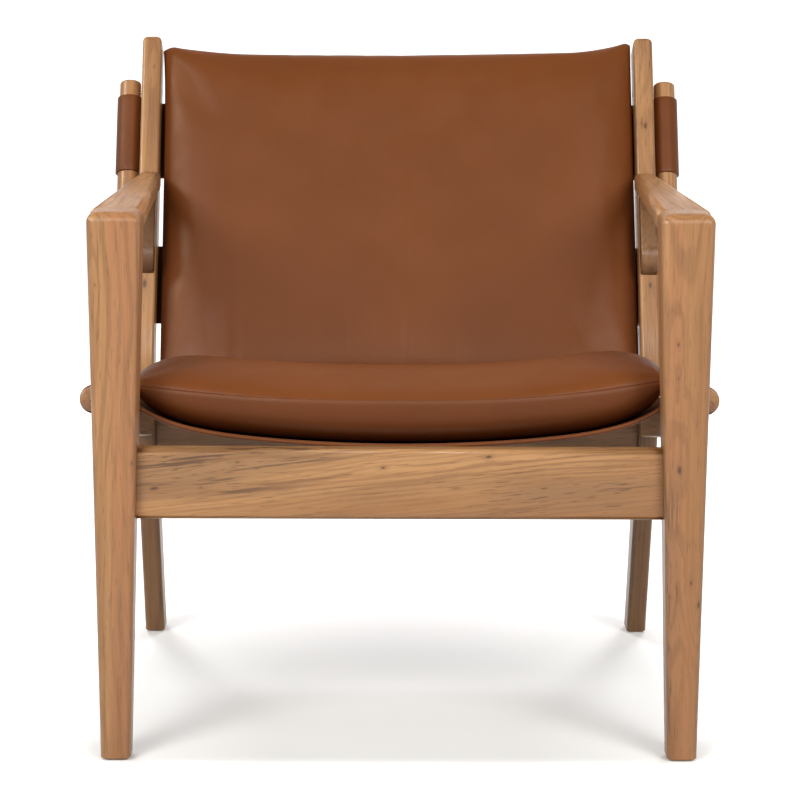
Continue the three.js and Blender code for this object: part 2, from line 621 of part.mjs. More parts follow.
// Seat sling: it hangs between the side rails in one sag, and its sleeves hold the seat poles
const seatSlingUnder = (x) => {
  const inside = Math.min(Math.abs(x) / RAIL_INNER_X, 1);
  return SIDE_RAIL_ABOVE_POLE + FIT - SEAT_SLING_SAG * (1 - inside ** SEAT_SLING_SAG_POWER);
};
function seatSling() {
  const wall = SLEEVE_RADIUS - LEATHER / 2;
  const slingEnd = -SEAT_SLING_FRONT_INSET - SEAT_SLING_LENGTH;
  const sleeveEnd = -SEAT_POLE_FRONT_BARE - SEAT_SLEEVE_LENGTH;
  const hanging = sheet(seatSlingUnder, SEAT_POLE_X - wall, slingEnd, SEAT_SLING_LENGTH, 28);
  const corner = RAIL_INNER_X - FIT;
  const notches = [
    clearance(corner, -SEAT_POLE_FRONT_BARE, OVERRUN - SEAT_SLING_FRONT_INSET),
    clearance(corner, slingEnd - OVERRUN, sleeveEnd),
  ];
  const trimmed = cut(hanging, notches.flatMap((notch) => [notch, mirrored(notch)]));
  const sleeveRight = sleeve(SEAT_POLE_X, 0, sleeveEnd, SEAT_SLEEVE_LENGTH);
  return joined([trimmed, sleeveRight, mirrored(sleeveRight)]).rotateX(Math.PI / 2);
}

// Back sling: a panel behind the posts with two sleeved tabs on each side
const backSlingFront = (x) => FIT + BACK_SLING_BULGE * Math.max(1 - (x / BACK_SLING_HALF_WIDTH) ** 2, 0);
function backSling() {
  const length = BACK_SLING_END - BACK_SLING_START;
  const panel = sheet(backSlingFront, BACK_POLE_X - LEATHER, BACK_SLING_START, length, 20);
  const gaps = [
    [BACK_SLING_START - OVERRUN, LOW_TAB_START],
    [LOW_TAB_START + TAB_LENGTH, HIGH_TAB_START],
    [HIGH_TAB_START + TAB_LENGTH, BACK_SLING_END + OVERRUN],
  ].map(([low, high]) => clearance(BACK_SLING_HALF_WIDTH, low, high));
  const trimmed = cut(panel, gaps.flatMap((gap) => [gap, mirrored(gap)]));
  const tubes = [LOW_TAB_START, HIGH_TAB_START].map((z) => sleeve(BACK_POLE_X, BACK_POLE_Y, z, TAB_LENGTH));
  return joined([trimmed, ...tubes.flatMap((tube) => [tube, mirrored(tube)])]);
}

// Cushion: two faces over one outline that meet in its seam. place(a, b) gives the outline's point and
// face(a, b, side, fullness) the height of a face there; a and b run from -1 to 1 across and along it.
function cushion(place, face, across, along) {
  const rim = (t) => Math.sqrt(Math.max(1 - Math.abs(t) ** CUSHION_EDGE_POWER, 0));
  const points = [];
  const number = new Map();
  const vertex = (i, j, side) => {
    const onSeam = i === 0 || j === 0 || i === across || j === along;
    const key = `${i} ${j} ${onSeam ? 0 : side}`;
    if (!number.has(key)) {
      const a = easedPlace(i, across);
      const b = easedPlace(j, along);
      const [x, y] = place(a, b);
      number.set(key, points.length);
      points.push(new THREE.Vector3(x, y, face(x, b, side, onSeam ? 0 : rim(a) * rim(b))));
    }
    return number.get(key);
  };
  const triangles = [];
  for (const side of [-1, 1]) {
    for (let i = 0; i < across; i += 1) {
      for (let j = 0; j < along; j += 1) {
        const corners = [[i, j], [i + 1, j], [i + 1, j + 1], [i, j + 1]];
        const [p, q, r, s] = corners.map(([column, row]) => vertex(column, row, side));
        triangles.push(...(side > 0 ? [[p, q, r], [p, r, s]] : [[r, q, p], [s, r, p]]));
      }
    }
  }
  return closedMesh(points, triangles);
}

// Seat cushion: it lies in the sling, its front edge bows forward, and its seam rises towards the sides
function seatCushion() {
  const place = (a, b) => {
    const bow = SEAT_CUSHION_FRONT_BOW * (1 - a * a) * (1 - b) / 2;
    const depth = lerp(SEAT_CUSHION_FRONT, SEAT_CUSHION_REAR, (b + 1) / 2);
    return [SEAT_CUSHION_HALF_WIDTH * a, depth - bow];
  };
  const face = (x, b, side, fullness) => {
    const outward = Math.abs(x / SEAT_CUSHION_HALF_WIDTH);
    const seam = SEAT_CUSHION_SEAM + SEAT_CUSHION_SEAM_LIFT * outward ** SEAT_CUSHION_SEAM_POWER;
    const rest = seatSlingUnder(x) + LEATHER + CUSHION_GAP;
    return side > 0 ? seam + SEAT_CUSHION_CROWN * fullness : lerp(seam, rest, fullness);
  };
  return cushion(place, face, 24, 18);
}

// Back cushion: it leans on the back sling between the posts, and its top edge dips between the corners
function backCushion() {
  const place = (a, b) => {
    const draw = BACK_CUSHION_SIDE_DRAW * (1 - b * b);
    const dip = BACK_CUSHION_TOP_DIP * (1 - a * a) * (b + 1) / 2;
    const height = lerp(BACK_CUSHION_BOTTOM, BACK_CUSHION_TOP, (b + 1) / 2);
    return [(BACK_CUSHION_HALF_WIDTH - draw) * a, height - dip];
  };
  const face = (x, b, side, fullness) => {
    const seam = BACK_CUSHION_SEAM;
    const rest = CUSHION_GAP - backSlingFront(x);
    return side > 0 ? seam + BACK_CUSHION_CROWN * fullness : lerp(seam, rest, fullness);
  };
  return cushion(place, face, 22, 18).rotateX(Math.PI / 2);
}

// Materials
const wood = new THREE.MeshStandardMaterial({ color: 0xb88c60, roughness: 0.5, metalness: 0 });
const paleWood = new THREE.MeshStandardMaterial({ color: 0xd2b48c, roughness: 0.7, metalness: 0 });
const leather = new THREE.MeshStandardMaterial({ color: 0x7c4527, roughness: 0.45, metalness: 0 });
const steel = new THREE.MeshStandardMaterial({ color: 0x9a9a98, roughness: 0.35, metalness: 1 });
const felt = new THREE.MeshStandardMaterial({ color: 0x4a4036, roughness: 0.95, metalness: 0 });

// Assembly
const chair = new THREE.Group();
chair.add(seat, back);
function add(parent, name, geometry, material) {
  const mesh = new THREE.Mesh(geometry, material);
  mesh.name = name;
  parent.add(mesh);
}
function addPair(parent, name, geometry, material) {
  add(parent, `right_${name}`, geometry, material);
  add(parent, `left_${name}`, mirrored(geometry), material);
}

const legHoles = [...frontRailPins, ...sideRailPins, ...armFrontPins].map(hole);
addPair(chair, 'front_leg', cut(frontLeg(), [...legHoles, glide(frontGlide, FIT)]), wood);
const postHoles = [...rearRailPins, ...sideRailPins, armRearPin, ...blockPins].map(hole);
const postCuts = [...postHoles, ...backScrews.map(screwHole), glide(rearGlide, FIT)];
addPair(chair, 'rear_post', cut(rearPost(POST_EDGE_RADIUS, 0), postCuts), wood);
addPair(chair, 'arm', cut(arm(), armPins.map(hole)), wood);
addPair(chair, 'arm_block', cut(armBlock(), blockPins.map(hole)), wood);
addPair(chair, 'side_rail', cut(sideRail(), [...sideRailPins.map(hole), ...seatScrews.map(screwHole)]), wood);

const bothHoles = (pins) => pins.map(hole).flatMap((bore) => [bore, mirrored(bore)]);
const frontRail = crossRail(legInnerX, {
  depth: FRONT_RAIL_SETBACK,
  thickness: FRONT_RAIL_THICKNESS,
  bottom: FRONT_RAIL_BOTTOM,
  height: FRONT_RAIL_HEIGHT,
});
add(chair, 'front_rail', cut(frontRail, bothHoles(frontRailPins)), wood);
const rearRail = crossRail(postInnerX, {
  depth: REAR_RAIL_DEPTH,
  thickness: REAR_RAIL_THICKNESS,
  bottom: REAR_RAIL_BOTTOM,
  height: REAR_RAIL_HEIGHT,
});
add(chair, 'rear_rail', cut(rearRail, bothHoles(rearRailPins)), wood);

const toSeat = seat.matrix.clone().invert();
const seatPole = pole(SEAT_POLE_LENGTH).rotateX(-Math.PI / 2).translate(SEAT_POLE_X, 0, 0);
const seatPoleHoles = seatScrews.map((s) => screwHole(s).applyMatrix4(toSeat));
addPair(seat, 'seat_pole', cut(seatPole, seatPoleHoles), wood);
add(seat, 'seat_sling', seatSling(), leather);
add(seat, 'seat_cushion', seatCushion(), leather);

const toBack = back.matrix.clone().invert();
const backPole = pole(BACK_POLE_LENGTH).translate(BACK_POLE_X, BACK_POLE_Y, BACK_POLE_START);
const backPoleHoles = backScrews.map((s) => screwHole(s).applyMatrix4(toBack));
addPair(back, 'back_pole', cut(backPole, backPoleHoles), wood);
add(back, 'back_sling', backSling(), leather);
add(back, 'back_cushion', backCushion(), leather);

const addPairs = (name, bodies, material) => bodies.forEach((body, i) => {
  addPair(chair, `${name}_${i + 1}`, body, material);
});
addPairs('front_rail_dowel', frontRailPins.map(dowel), paleWood);
addPairs('rear_rail_dowel', rearRailPins.map(dowel), paleWood);
addPairs('side_rail_dowel', sideRailPins.map(dowel), paleWood);
addPairs('arm_dowel', armPins.map(dowel), paleWood);
addPairs('arm_block_dowel', blockPins.map(dowel), paleWood);
addPairs('seat_pole_screw', seatScrews.map(screw), steel);
addPairs('back_pole_screw', backScrews.map(screw), steel);
addPairs('foot_glide', [glide(frontGlide, 0), glide(rearGlide, 0)], felt);

// The origin lies on the floor, under the middle of the chair.
const box = new THREE.Box3().setFromObject(chair, true);
chair.position.y = -(box.min.y + box.max.y) / 2;

export default chair;
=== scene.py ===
import bmesh
import bpy
import numpy as np
from mathutils import Matrix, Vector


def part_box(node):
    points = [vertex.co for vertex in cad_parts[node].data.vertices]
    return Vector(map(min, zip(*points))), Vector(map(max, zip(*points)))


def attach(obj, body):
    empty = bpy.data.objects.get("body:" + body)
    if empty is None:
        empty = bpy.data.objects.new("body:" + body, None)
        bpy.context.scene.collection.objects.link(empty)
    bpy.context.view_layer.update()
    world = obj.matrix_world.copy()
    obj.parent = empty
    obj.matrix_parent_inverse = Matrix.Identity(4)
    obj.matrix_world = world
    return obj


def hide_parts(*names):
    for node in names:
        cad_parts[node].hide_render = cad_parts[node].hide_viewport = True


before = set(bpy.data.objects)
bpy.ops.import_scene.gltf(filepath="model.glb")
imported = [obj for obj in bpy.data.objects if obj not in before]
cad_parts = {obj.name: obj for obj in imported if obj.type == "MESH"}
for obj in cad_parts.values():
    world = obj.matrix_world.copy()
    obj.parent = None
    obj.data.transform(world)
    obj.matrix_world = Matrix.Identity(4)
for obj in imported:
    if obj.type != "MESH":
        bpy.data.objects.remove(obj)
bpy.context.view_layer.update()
scene = bpy.context.scene

# The view: a long lens from a little above the arms, almost square to the front of the chair.
# It looks down a little, a touch to the right, and leans by a quarter of a degree.
LENS_MM, SENSOR_MM = 134.64, 36
CAMERA_PLACE = (-0.027, -3.668, 0.970)
LOOK_DOWN, LOOK_RIGHT, CAMERA_LEAN = np.radians([9.485, 0.46, 0.25])


def placed(name, data):
    """A new object in the scene, with its mesh, light or camera."""
    made = bpy.data.objects.new(name, data)
    scene.collection.objects.link(made)
    return made


camera = placed("camera", bpy.data.cameras.new("camera"))
scene.camera = camera
camera.data.sensor_width = SENSOR_MM
camera.data.lens = LENS_MM
camera.matrix_world = (
    Matrix.Translation(CAMERA_PLACE)
    @ Matrix.Rotation(-LOOK_RIGHT, 4, "Z")
    @ Matrix.Rotation(np.pi / 2 - LOOK_DOWN, 4, "X")
    @ Matrix.Rotation(CAMERA_LEAN, 4, "Z")
)

# Front legs: solid oiled hardwood with upright front faces, tapered on the other three sides.
# Each runs up to the top of its arm; the front rail is dowelled between the two.
SIDES = (("right", 1), ("left", -1))
LEG_FOOT_INNER, LEG_FOOT_OUTER, LEG_FOOT_DEPTH = 0.3065, 0.3405, 0.036
LEG_FRONT_ROUND, LEG_BACK_ROUND, LEG_TOP_ROUND = 0.008, 0.003, 0.012
FOOT_CHAMFER = 0.0025
PALE_WOOD = (0.525, 0.278, 0.117, 1)
TAN_WOOD = (0.345, 0.16, 0.061, 1)
ROSY_WOOD = (0.4, 0.17, 0.074, 1)
HEART_WOOD = (0.235, 0.128, 0.063, 1)
RING_BROWN = (0.24, 0.11, 0.044, 1)
PORE_BROWN = (0.115, 0.054, 0.024, 1)
KNOT_BROWN = (0.055, 0.027, 0.014, 1)
RING_SPACING, RING_BEND, RING_RIPPLE = 0.0052, 0.05, 0.004
KNOT_STRETCH, FLOW_STRETCH = (1, 0.6, 0.45), (1, 0.6, 0.17)
KNOT_WANDER, KNOT_PUSH = 1.3, 2.4
PORE_RELIEF, STROKE_RELIEF = -0.8, -0.5
WOOD_ROUGHNESS, WOOD_SPECULAR = (0.3, 0.44), 0.45
WOOD_NOISES = {
    "wander": (130, 70, 2),
    "bend": (9, 1.8, 2),
    "ripple": (55, 5, 2),
    "late": (40, 3, 2),
    "fibre": (260, 7, 3),
    "patch": (20, 2.2, 2),
    "pore": (620, 42, 1),
    "stroke": (210, 9, 3),
    "tan": (15, 1.2, 3),
    "blush": (36, 1.0, 2),
}


def rounded_rings(u_low, u_high, v_low, v_high, radii, steps=7):
    """Rectangles with rounded corners, one ring for each value of the limits: every corner is a quarter arc
    whose centre lies its radius inside the corner, and straight sides join the arcs."""
    corners = [(u_low, v_low, 1, 1), (u_high, v_low, -1, 1), (u_high, v_high, -1, -1), (u_low, v_high, 1, -1)]
    arcs = []
    for number, ((u, v, inward_u, inward_v), radius) in enumerate(zip(corners, radii)):
        angle = np.pi + np.linspace(0, np.pi / 2, steps) + number * np.pi / 2
        radius = np.reshape(radius, (-1, 1))
        across = np.reshape(u, (-1, 1)) + radius * (inward_u + np.cos(angle))
        through = np.reshape(v, (-1, 1)) + radius * (inward_v + np.sin(angle))
        arcs.append(np.stack(np.broadcast_arrays(across, through), -1))
    return np.concatenate(arcs, axis=1)


def raised(rings, third):
    """Flat rings made into rings in space: all points of a ring get the same third value."""
    third = np.broadcast_to(third[:, None, None], (*rings.shape[:2], 1))
    return np.concatenate([rings, third], -1)


def outward(mesh):
    """Turns the faces of a closed mesh so that all of them look outwards."""
    shape = bmesh.new()
    shape.from_mesh(mesh)
    bmesh.ops.recalc_face_normals(shape, faces=shape.faces)
    shape.to_mesh(mesh)
    shape.free()


def board(name, rings, grain, wood, node):
    """A solid wooden piece: each ring of points is joined to the next by four-sided faces, and the first and
    last rings are closed as flat ends. grain is every point's place across, through and along the timber."""
    count, around = rings.shape[:2]
    index = np.arange(count * around).reshape(count, around)
    onward = np.roll(index, -1, axis=1)
    sides = np.stack([index[:-1], onward[:-1], onward[1:], index[1:]], -1).reshape(-1, 4)
    mesh = bpy.data.meshes.new(name)
    mesh.from_pydata(rings.reshape(-1, 3), [], sides.tolist() + [index[0].tolist(), index[-1].tolist()])
    place = mesh.attributes.new("grain", "FLOAT_VECTOR", "POINT")
    place.data.foreach_set("vector", np.ascontiguousarray(grain, np.float32).ravel())
    outward(mesh)
    mesh.shade_smooth()
    mesh.materials.append(wood)
    piece = placed(name, mesh)
    piece.modifiers.new("flat_faces", "WEIGHTED_NORMAL")
    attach(piece, "frame")
    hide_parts(node)
    return piece


def blank_material(name):
    """A new material, its tree of nodes and its shader."""
    material = bpy.data.materials.new(name)
    material.use_nodes = True
    return material, material.node_tree, material.node_tree.nodes["Principled BSDF"]


def grow(tree, kind, inputs, **settings):
    """One shader node with its settings made and its inputs set or linked."""
    made = tree.nodes.new(kind)
    for setting, value in settings.items():
        setattr(made, setting, value)
    for socket, value in inputs.items():
        if isinstance(value, bpy.types.NodeSocket):
            tree.links.new(value, made.inputs[socket])
        else:
            made.inputs[socket].default_value = value
    return made


def tinted(tree, factor, under, over):
    """A colour that goes from one to the other as the factor rises."""
    return grow(tree, "ShaderNodeMix", {0: factor, 6: under, 7: over}, data_type="RGBA").outputs[2]


def between(tree, value, low, high, start=0.0, end=1.0):
    """A value's way from low to high, as start to end, held at both ends."""
    inputs = {"Value": value, "From Min": low, "From Max": high, "To Min": start, "To Max": end}
    return grow(tree, "ShaderNodeMapRange", inputs, interpolation_type="SMOOTHSTEP").outputs[0]


def plus(tree, value, share, more):
    """The value plus a share of another."""
    return grow(tree, "ShaderNodeMath", {0: more, 1: share, 2: value}, operation="MULTIPLY_ADD").outputs[0]


def times(tree, value, other):
    """The product of two values."""
    return grow(tree, "ShaderNodeMath", {0: value, 1: other}, operation="MULTIPLY").outputs[0]


def bumped(tree, shader, height, strength, depth):
    """Lets a height show as relief in the surface."""
    bump = grow(tree, "ShaderNodeBump", {"Height": height, "Strength": strength, "Distance": depth})
    tree.links.new(bump.outputs[0], shader.inputs["Normal"])


def oiled_wood(name, seed, pith, rosy=0.5, heart=0.3, knots=(), painted_shade=(0.0, 0.0, 1.0)):
    """Oiled hardwood, worked out from each point's place in the timber. Growth rings are waves of the distance
    from the pith, a line along the timber, bent by slow noise and pushed aside round each knot. Pores and longer
    dark strokes are fine noise drawn out along the grain and gather in patches of darker heartwood; slow noises
    mix the pale, tan and rosy browns. painted_shade darkens them all by a share of painted shade, which fades out
    between two places along the timber."""
    material, tree, shader = blank_material(name)
    place = grow(tree, "ShaderNodeAttribute", {}, attribute_name="grain").outputs["Vector"]

    def drawn_out(across, along, detail):
        """Noise with so many features a metre across and along the timber."""
        stretch = (across, across, along)
        scaled = grow(tree, "ShaderNodeVectorMath", {0: place, 1: stretch}, operation="MULTIPLY").outputs[0]
        inputs = {"Vector": scaled, "W": seed, "Scale": 1.0, "Detail": detail}
        return grow(tree, "ShaderNodeTexNoise", inputs, noise_dimensions="4D").outputs[0]

    def from_point(point, stretch):
        """Distance from a point of the timber, each axis counted by its own stretch."""
        away = grow(tree, "ShaderNodeVectorMath", {0: place, 1: point}, operation="SUBTRACT").outputs[0]
        away = grow(tree, "ShaderNodeVectorMath", {0: away, 1: stretch}, operation="MULTIPLY").outputs[0]
        return grow(tree, "ShaderNodeVectorMath", {0: away}, operation="LENGTH").outputs["Value"]

    noise = {part: drawn_out(*scales) for part, scales in WOOD_NOISES.items()}
    ring = plus(tree, from_point((*pith, 0), (1, 1, 0)), RING_BEND, noise["bend"])
    ring = plus(tree, ring, RING_RIPPLE, noise["ripple"])
    knot_layers = []
    for *spot, size in knots:
        near = plus(tree, from_point(spot, KNOT_STRETCH), KNOT_WANDER * size, noise["wander"])
        flow = plus(tree, from_point(spot, FLOW_STRETCH), KNOT_WANDER * size, noise["wander"])
        ring = plus(tree, ring, KNOT_PUSH * size, between(tree, flow, 0.6 * size, 6.5 * size, 1.0, 0.0))
        knot_layers.append((between(tree, near, 0.9 * size, 3.0 * size, 0.4, 0.0), RING_BROWN))
        knot_layers.append((between(tree, near, 0.7 * size, 1.4 * size, 0.8, 0.0), KNOT_BROWN))
    turned = times(tree, ring, 2 * np.pi / RING_SPACING)
    wave = grow(tree, "ShaderNodeMath", {0: turned}, operation="SINE").outputs[0]
    late = times(tree, between(tree, wave, -0.1, 1.0), between(tree, noise["late"], 0.36, 0.66, 0.1, 0.8))
    patch = between(tree, noise["patch"], 0.62 - 0.3 * heart, 0.86 - 0.3 * heart)
    pores = between(tree, noise["pore"], 0.6, 0.7)
    pores = times(tree, pores, between(tree, patch, 0.0, 1.0, 0.35, 0.85))
    strokes = between(tree, noise["stroke"], 0.55, 0.65)
    strokes = times(tree, strokes, between(tree, patch, 0.0, 1.0, 0.12, 0.95))
    dark, dark_until, clear_from = painted_shade
    place_along = grow(tree, "ShaderNodeSeparateXYZ", {0: place}).outputs["Z"]
    layers = [
        (between(tree, noise["tan"], 0.32, 0.68), TAN_WOOD),
        (between(tree, noise["blush"], 0.6 - 0.25 * rosy, 0.78 - 0.2 * rosy, 0.0, 0.8), ROSY_WOOD),
        (between(tree, patch, 0.0, 1.0, 0.0, 0.6), HEART_WOOD),
        (times(tree, late, 0.75), RING_BROWN),
        (between(tree, noise["fibre"], 0.44, 0.74, 0.0, 0.5), RING_BROWN),
        (pores, PORE_BROWN),
        (strokes, PORE_BROWN),
        *knot_layers,
        # Painted shade: the whole colour darkens towards one end of the timber.
        (between(tree, place_along, dark_until, clear_from, dark, 0.0), PORE_BROWN),
    ]
    colour = PALE_WOOD
    for share, brown in layers:
        colour = tinted(tree, share, colour, brown)
    tree.links.new(colour, shader.inputs["Base Color"])
    tree.links.new(between(tree, noise["fibre"], 0.3, 0.7, *WOOD_ROUGHNESS), shader.inputs["Roughness"])
    shader.inputs["Specular IOR Level"].default_value = WOOD_SPECULAR
    relief = plus(tree, plus(tree, noise["fibre"], PORE_RELIEF, pores), STROKE_RELIEF, strokes)
    bumped(tree, shader, relief, strength=0.3, depth=0.0006)
    return material


leg_low, leg_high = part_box("right_front_leg")
front = leg_low.y
quarter = np.linspace(0, np.pi / 2, 8)
arc_drop, arc_inset = 1 - np.sin(quarter), 1 - np.cos(quarter)
leg_rise = np.concatenate([[leg_low.z, leg_low.z + FOOT_CHAMFER], leg_high.z - LEG_TOP_ROUND * arc_drop])
leg_inset = np.concatenate([[FOOT_CHAMFER, 0], LEG_TOP_ROUND * arc_inset])
leg_back_inset = np.where(leg_rise < leg_high.z / 2, leg_inset, 0)


def leg_inner(height):
    """The leg's inner face comes straight from its foot to its top."""
    return LEG_FOOT_INNER + (leg_low.x - LEG_FOOT_INNER) * height / leg_high.z


def leg_back(height):
    """The leg's back face comes straight from its foot to its top."""
    return front + LEG_FOOT_DEPTH + (leg_high.y - front - LEG_FOOT_DEPTH) * height / leg_high.z


leg_outer = LEG_FOOT_OUTER + (leg_high.x - LEG_FOOT_OUTER) * leg_rise / leg_high.z
leg_section = rounded_rings(
    leg_inner(leg_rise) + leg_inset,
    leg_outer - leg_inset,
    front + leg_inset,
    leg_back(leg_rise) - leg_back_inset,
    [LEG_FRONT_ROUND, LEG_FRONT_ROUND, LEG_BACK_ROUND, LEG_BACK_ROUND],
)
leg_rings = raised(leg_section, leg_rise)
LEG_KNOTS = {
    "right": [
        (0.314, front, 0.339, 0.0044),
        (0.310, front, 0.482, 0.0025),
        (0.311, front, 0.444, 0.0016),
        (0.330, front, 0.210, 0.0032),
        (0.3055, front, 0.193, 0.002),
        (0.3385, front, 0.1845, 0.0032),
    ],
    "left": [(-0.301, front, 0.345, 0.003), (-0.340, front, 0.547, 0.0015)],
}
# Painted shade: the left leg's painted_shade darkens its foot end, fading out 0.35 m up.
LEG_WOODS = {
    "right": dict(seed=3.1, pith=(0.318, front + 0.03), rosy=0.4, heart=0.27),
    "left": dict(seed=7.4, pith=(-0.27, front + 0.09), rosy=0.9, heart=0.2, painted_shade=(0.16, 0.05, 0.35)),
}
for side, sign in SIDES:
    leg_wood = oiled_wood(side + "_leg_wood", knots=LEG_KNOTS[side], **LEG_WOODS[side])
    side_leg = leg_rings * (sign, 1, 1)
    board(side + "_leg", side_leg, side_leg, leg_wood, side + "_front_leg")

# Front rail: a plank on edge between the legs, with eased edges and its ends cut to the legs' taper.
# It has the liveliest figure of the chair, with dark streaks and a few small knots.
RAIL_EASE, FRONT_RAIL_EASE = 0.003, 0.005
JOINT_GAP = 0.0003
FRONT_GRAIN_CLIMB = 0.1
FRONT_RAIL_KNOTS = (
    (-0.277, 0.314, 0.0042),
    (-0.183, 0.344, 0.0028),
    (-0.019, 0.338, 0.0022),
    (0.100, 0.351, 0.0026),
    (-0.225, 0.315, 0.0016),
)
rail_low, rail_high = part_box("front_rail")


def rail_rings(low, high, face, ease):
    """A plank along X: one rounded section at each end, where the end lies on the slanted face of its
    neighbour."""
    section = rounded_rings([low.y], [high.y], [low.z], [high.z], [ease] * 4)[0]
    reach = face(section[:, 1]) - JOINT_GAP
    ends = [np.column_stack([side * reach, section]) for side in (-1, 1)]
    return np.stack(ends)


def rail_grain(rings, climb):
    """A plank's grain runs along X and climbs a little towards the right."""
    return np.stack([rings[..., 2] - climb * rings[..., 0], rings[..., 1], rings[..., 0]], -1)


front_rail_rings = rail_rings(rail_low, rail_high, leg_inner, FRONT_RAIL_EASE)
front_rail_knots = [
    (height - FRONT_GRAIN_CLIMB * across, rail_low.y, across, size) for across, height, size in FRONT_RAIL_KNOTS
]
rail_wood = oiled_wood(
    "front_rail_wood", seed=12.7, pith=(0.37, rail_low.y + 0.02), rosy=0.1, heart=0.62, knots=front_rail_knots
)
board("rail_front", front_rail_rings, rail_grain(front_rail_rings, FRONT_GRAIN_CLIMB), rail_wood, "front_rail")

# Rear posts: a rear leg and a leaning upright in one board, bent at a knee and rounded along its edges.
# Below the knee the inner side flares inwards and the outer side tapers. The back poles are screwed to the
# outer sides, and the back sling lies across the back faces.
BACK_LEAN = np.radians(27)
KNEE_DEPTH, KNEE_HEIGHT = 0.478, 0.365
KNEE = np.array([front + KNEE_DEPTH, KNEE_HEIGHT])
POST_WIDTH, POST_FOOT_WIDTH, POST_LOWER_WIDTH = 0.048, 0.044, 0.056
POST_FOOT_DEPTH = 0.611
POST_ABOVE_KNEE = 0.480
POST_INNER, POST_FOOT_FLARE, POST_FOOT_TAPER = 0.313, 0.003, 0.0025
POST_EDGE, POST_LEAST_EDGE, POST_TOP_ROUND = 0.005, 0.0005, 0.008
KNEE_BEND, BACK_BEND = 0.080, 0.060
# Painted shade: each post's painted_shade darkens its rear leg, fading out round the knee.
POST_WOODS = {
    "right": dict(
        seed=21.3,
        pith=(0.29, 0.05),
        heart=0.5,
        knots=[(0.321, 0.0, 0.722, 0.002), (0.326, 0.0, 0.720, 0.0042), (0.327, 0.0, 0.500, 0.004)],
        painted_shade=(0.5, 0.3, 0.42),
    ),
    "left": dict(
        seed=28.9,
        pith=(0.325, 0.035),
        heart=0.1,
        knots=[(0.322, 0.0, 0.800, 0.0016), (0.326, 0.0, 0.500, 0.0045)],
        painted_shade=(0.35, 0.3, 0.42),
    ),
}
post_low, post_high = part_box("right_rear_post")
leaning_up = np.array([np.sin(BACK_LEAN), np.cos(BACK_LEAN)])
leaning_out = np.array([np.cos(BACK_LEAN), -np.sin(BACK_LEAN)])
foot_front = np.array([front + POST_FOOT_DEPTH, post_low.z])
foot_back = foot_front + (POST_FOOT_WIDTH, 0)
down_front = (foot_front - KNEE) / np.linalg.norm(foot_front - KNEE)
lower_back = KNEE + POST_LOWER_WIDTH * np.array([-down_front[1], down_front[0]])
down_back = (foot_back - lower_back) / np.linalg.norm(foot_back - lower_back)
upper_back = KNEE + POST_WIDTH * leaning_out
to_knee = np.linalg.solve(np.column_stack([down_back, -leaning_up]), upper_back - lower_back)
knee_back = lower_back + to_knee[0] * down_back


def bent_edge(foot, toward_foot, corner, bend, top):
    """An edge of the post seen from the side: straight from its foot, round the knee in one curve whose ends lie
    the bend's length away from the corner, and straight up to the top."""
    t = np.linspace(0, 1, 25)[:, None]
    start, end = corner + bend * toward_foot, corner + bend * leaning_up
    curve = (1 - t) ** 2 * start + 2 * t * (1 - t) * corner + t**2 * end
    lift = foot + (start - foot) * FOOT_CHAMFER / np.linalg.norm(start - foot)
    return np.concatenate([[foot, lift], curve, np.repeat([top], len(quarter), axis=0)])


def below_knee(height):
    """Way down from the knee to the floor, and none above the knee."""
    return np.clip(1 - height / KNEE_HEIGHT, 0, 1)


def post_inner(height):
    """The post's inner face is upright above the knee, and goes straight inwards below it."""
    return POST_INNER - POST_FOOT_FLARE * below_knee(height)


post_front = bent_edge(foot_front, down_front, KNEE, KNEE_BEND, KNEE + POST_ABOVE_KNEE * leaning_up)
post_back = bent_edge(foot_back, down_back, knee_back, BACK_BEND, upper_back + POST_ABOVE_KNEE * leaning_up)
post_inset = np.zeros(len(post_front))
post_inset[0] = FOOT_CHAMFER
post_inset[-len(quarter):] = POST_TOP_ROUND * arc_inset
post_drop = np.zeros(len(post_front))
post_drop[-len(quarter):] = POST_TOP_ROUND * arc_drop
post_across = post_back - post_front
post_span = np.linalg.norm(post_across, axis=1)
post_across /= post_span[:, None]
post_section = rounded_rings(
    post_inner(post_front[:, 1]) + post_inset,
    post_high.x - POST_FOOT_TAPER * below_knee(post_front[:, 1]) - post_inset,
    post_inset,
    post_span - post_inset,
    [np.maximum(POST_EDGE - post_inset / 2, POST_LEAST_EDGE)] * 4,
)
post_side = post_front[:, None] + post_section[..., 1:] * post_across[:, None]
post_side = post_side - post_drop[:, None, None] * leaning_up
post_rings = np.concatenate([post_section[..., :1], post_side], -1)
post_middle = (post_front + post_back) / 2
post_steps = np.linalg.norm(np.diff(post_middle, axis=0), axis=1)
post_grain = raised(post_section, np.concatenate([[0], np.cumsum(post_steps)]) - post_drop)
for side, sign in SIDES:
    post_wood = oiled_wood(side + "_post_wood", rosy=0.25, **POST_WOODS[side])
    board(side + "_post", post_rings * (sign, 1, 1), post_grain, post_wood, side + "_rear_post")

# Arms: boards dowelled between the backs of the legs and the fronts of the uprights, with well rounded edges.
# They narrow towards the back, drop a little, and keep flush with the legs at the front.
ARM_THICKNESS, ARM_EDGE, ARM_END_EASE = 0.026, 0.009, 0.004
ARM_LENGTH, ARM_REAR_DROP, ARM_PAST_POST = 0.52, 0.009, 0.004
ARM_SEEDS = {"right": 33.2, "left": 37.6}
arm_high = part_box("right_arm")[1]
arm_t = np.concatenate([[0, 0.5], 1 - ARM_END_EASE / ARM_LENGTH * arc_drop])
arm_inset = np.concatenate([[0, 0], ARM_END_EASE * arc_inset])
arm_top = arm_high.z - ARM_REAR_DROP * arm_t
arm_section = rounded_rings(
    leg_low.x + (POST_INNER - ARM_PAST_POST - leg_low.x) * arm_t + arm_inset,
    leg_high.x + (post_high.x - leg_high.x) * arm_t - arm_inset,
    arm_top - ARM_THICKNESS + arm_inset,
    arm_top - arm_inset,
    [ARM_EDGE - arm_inset / 2] * 4,
)
arm_start = leg_back(arm_section[..., 1]) + JOINT_GAP
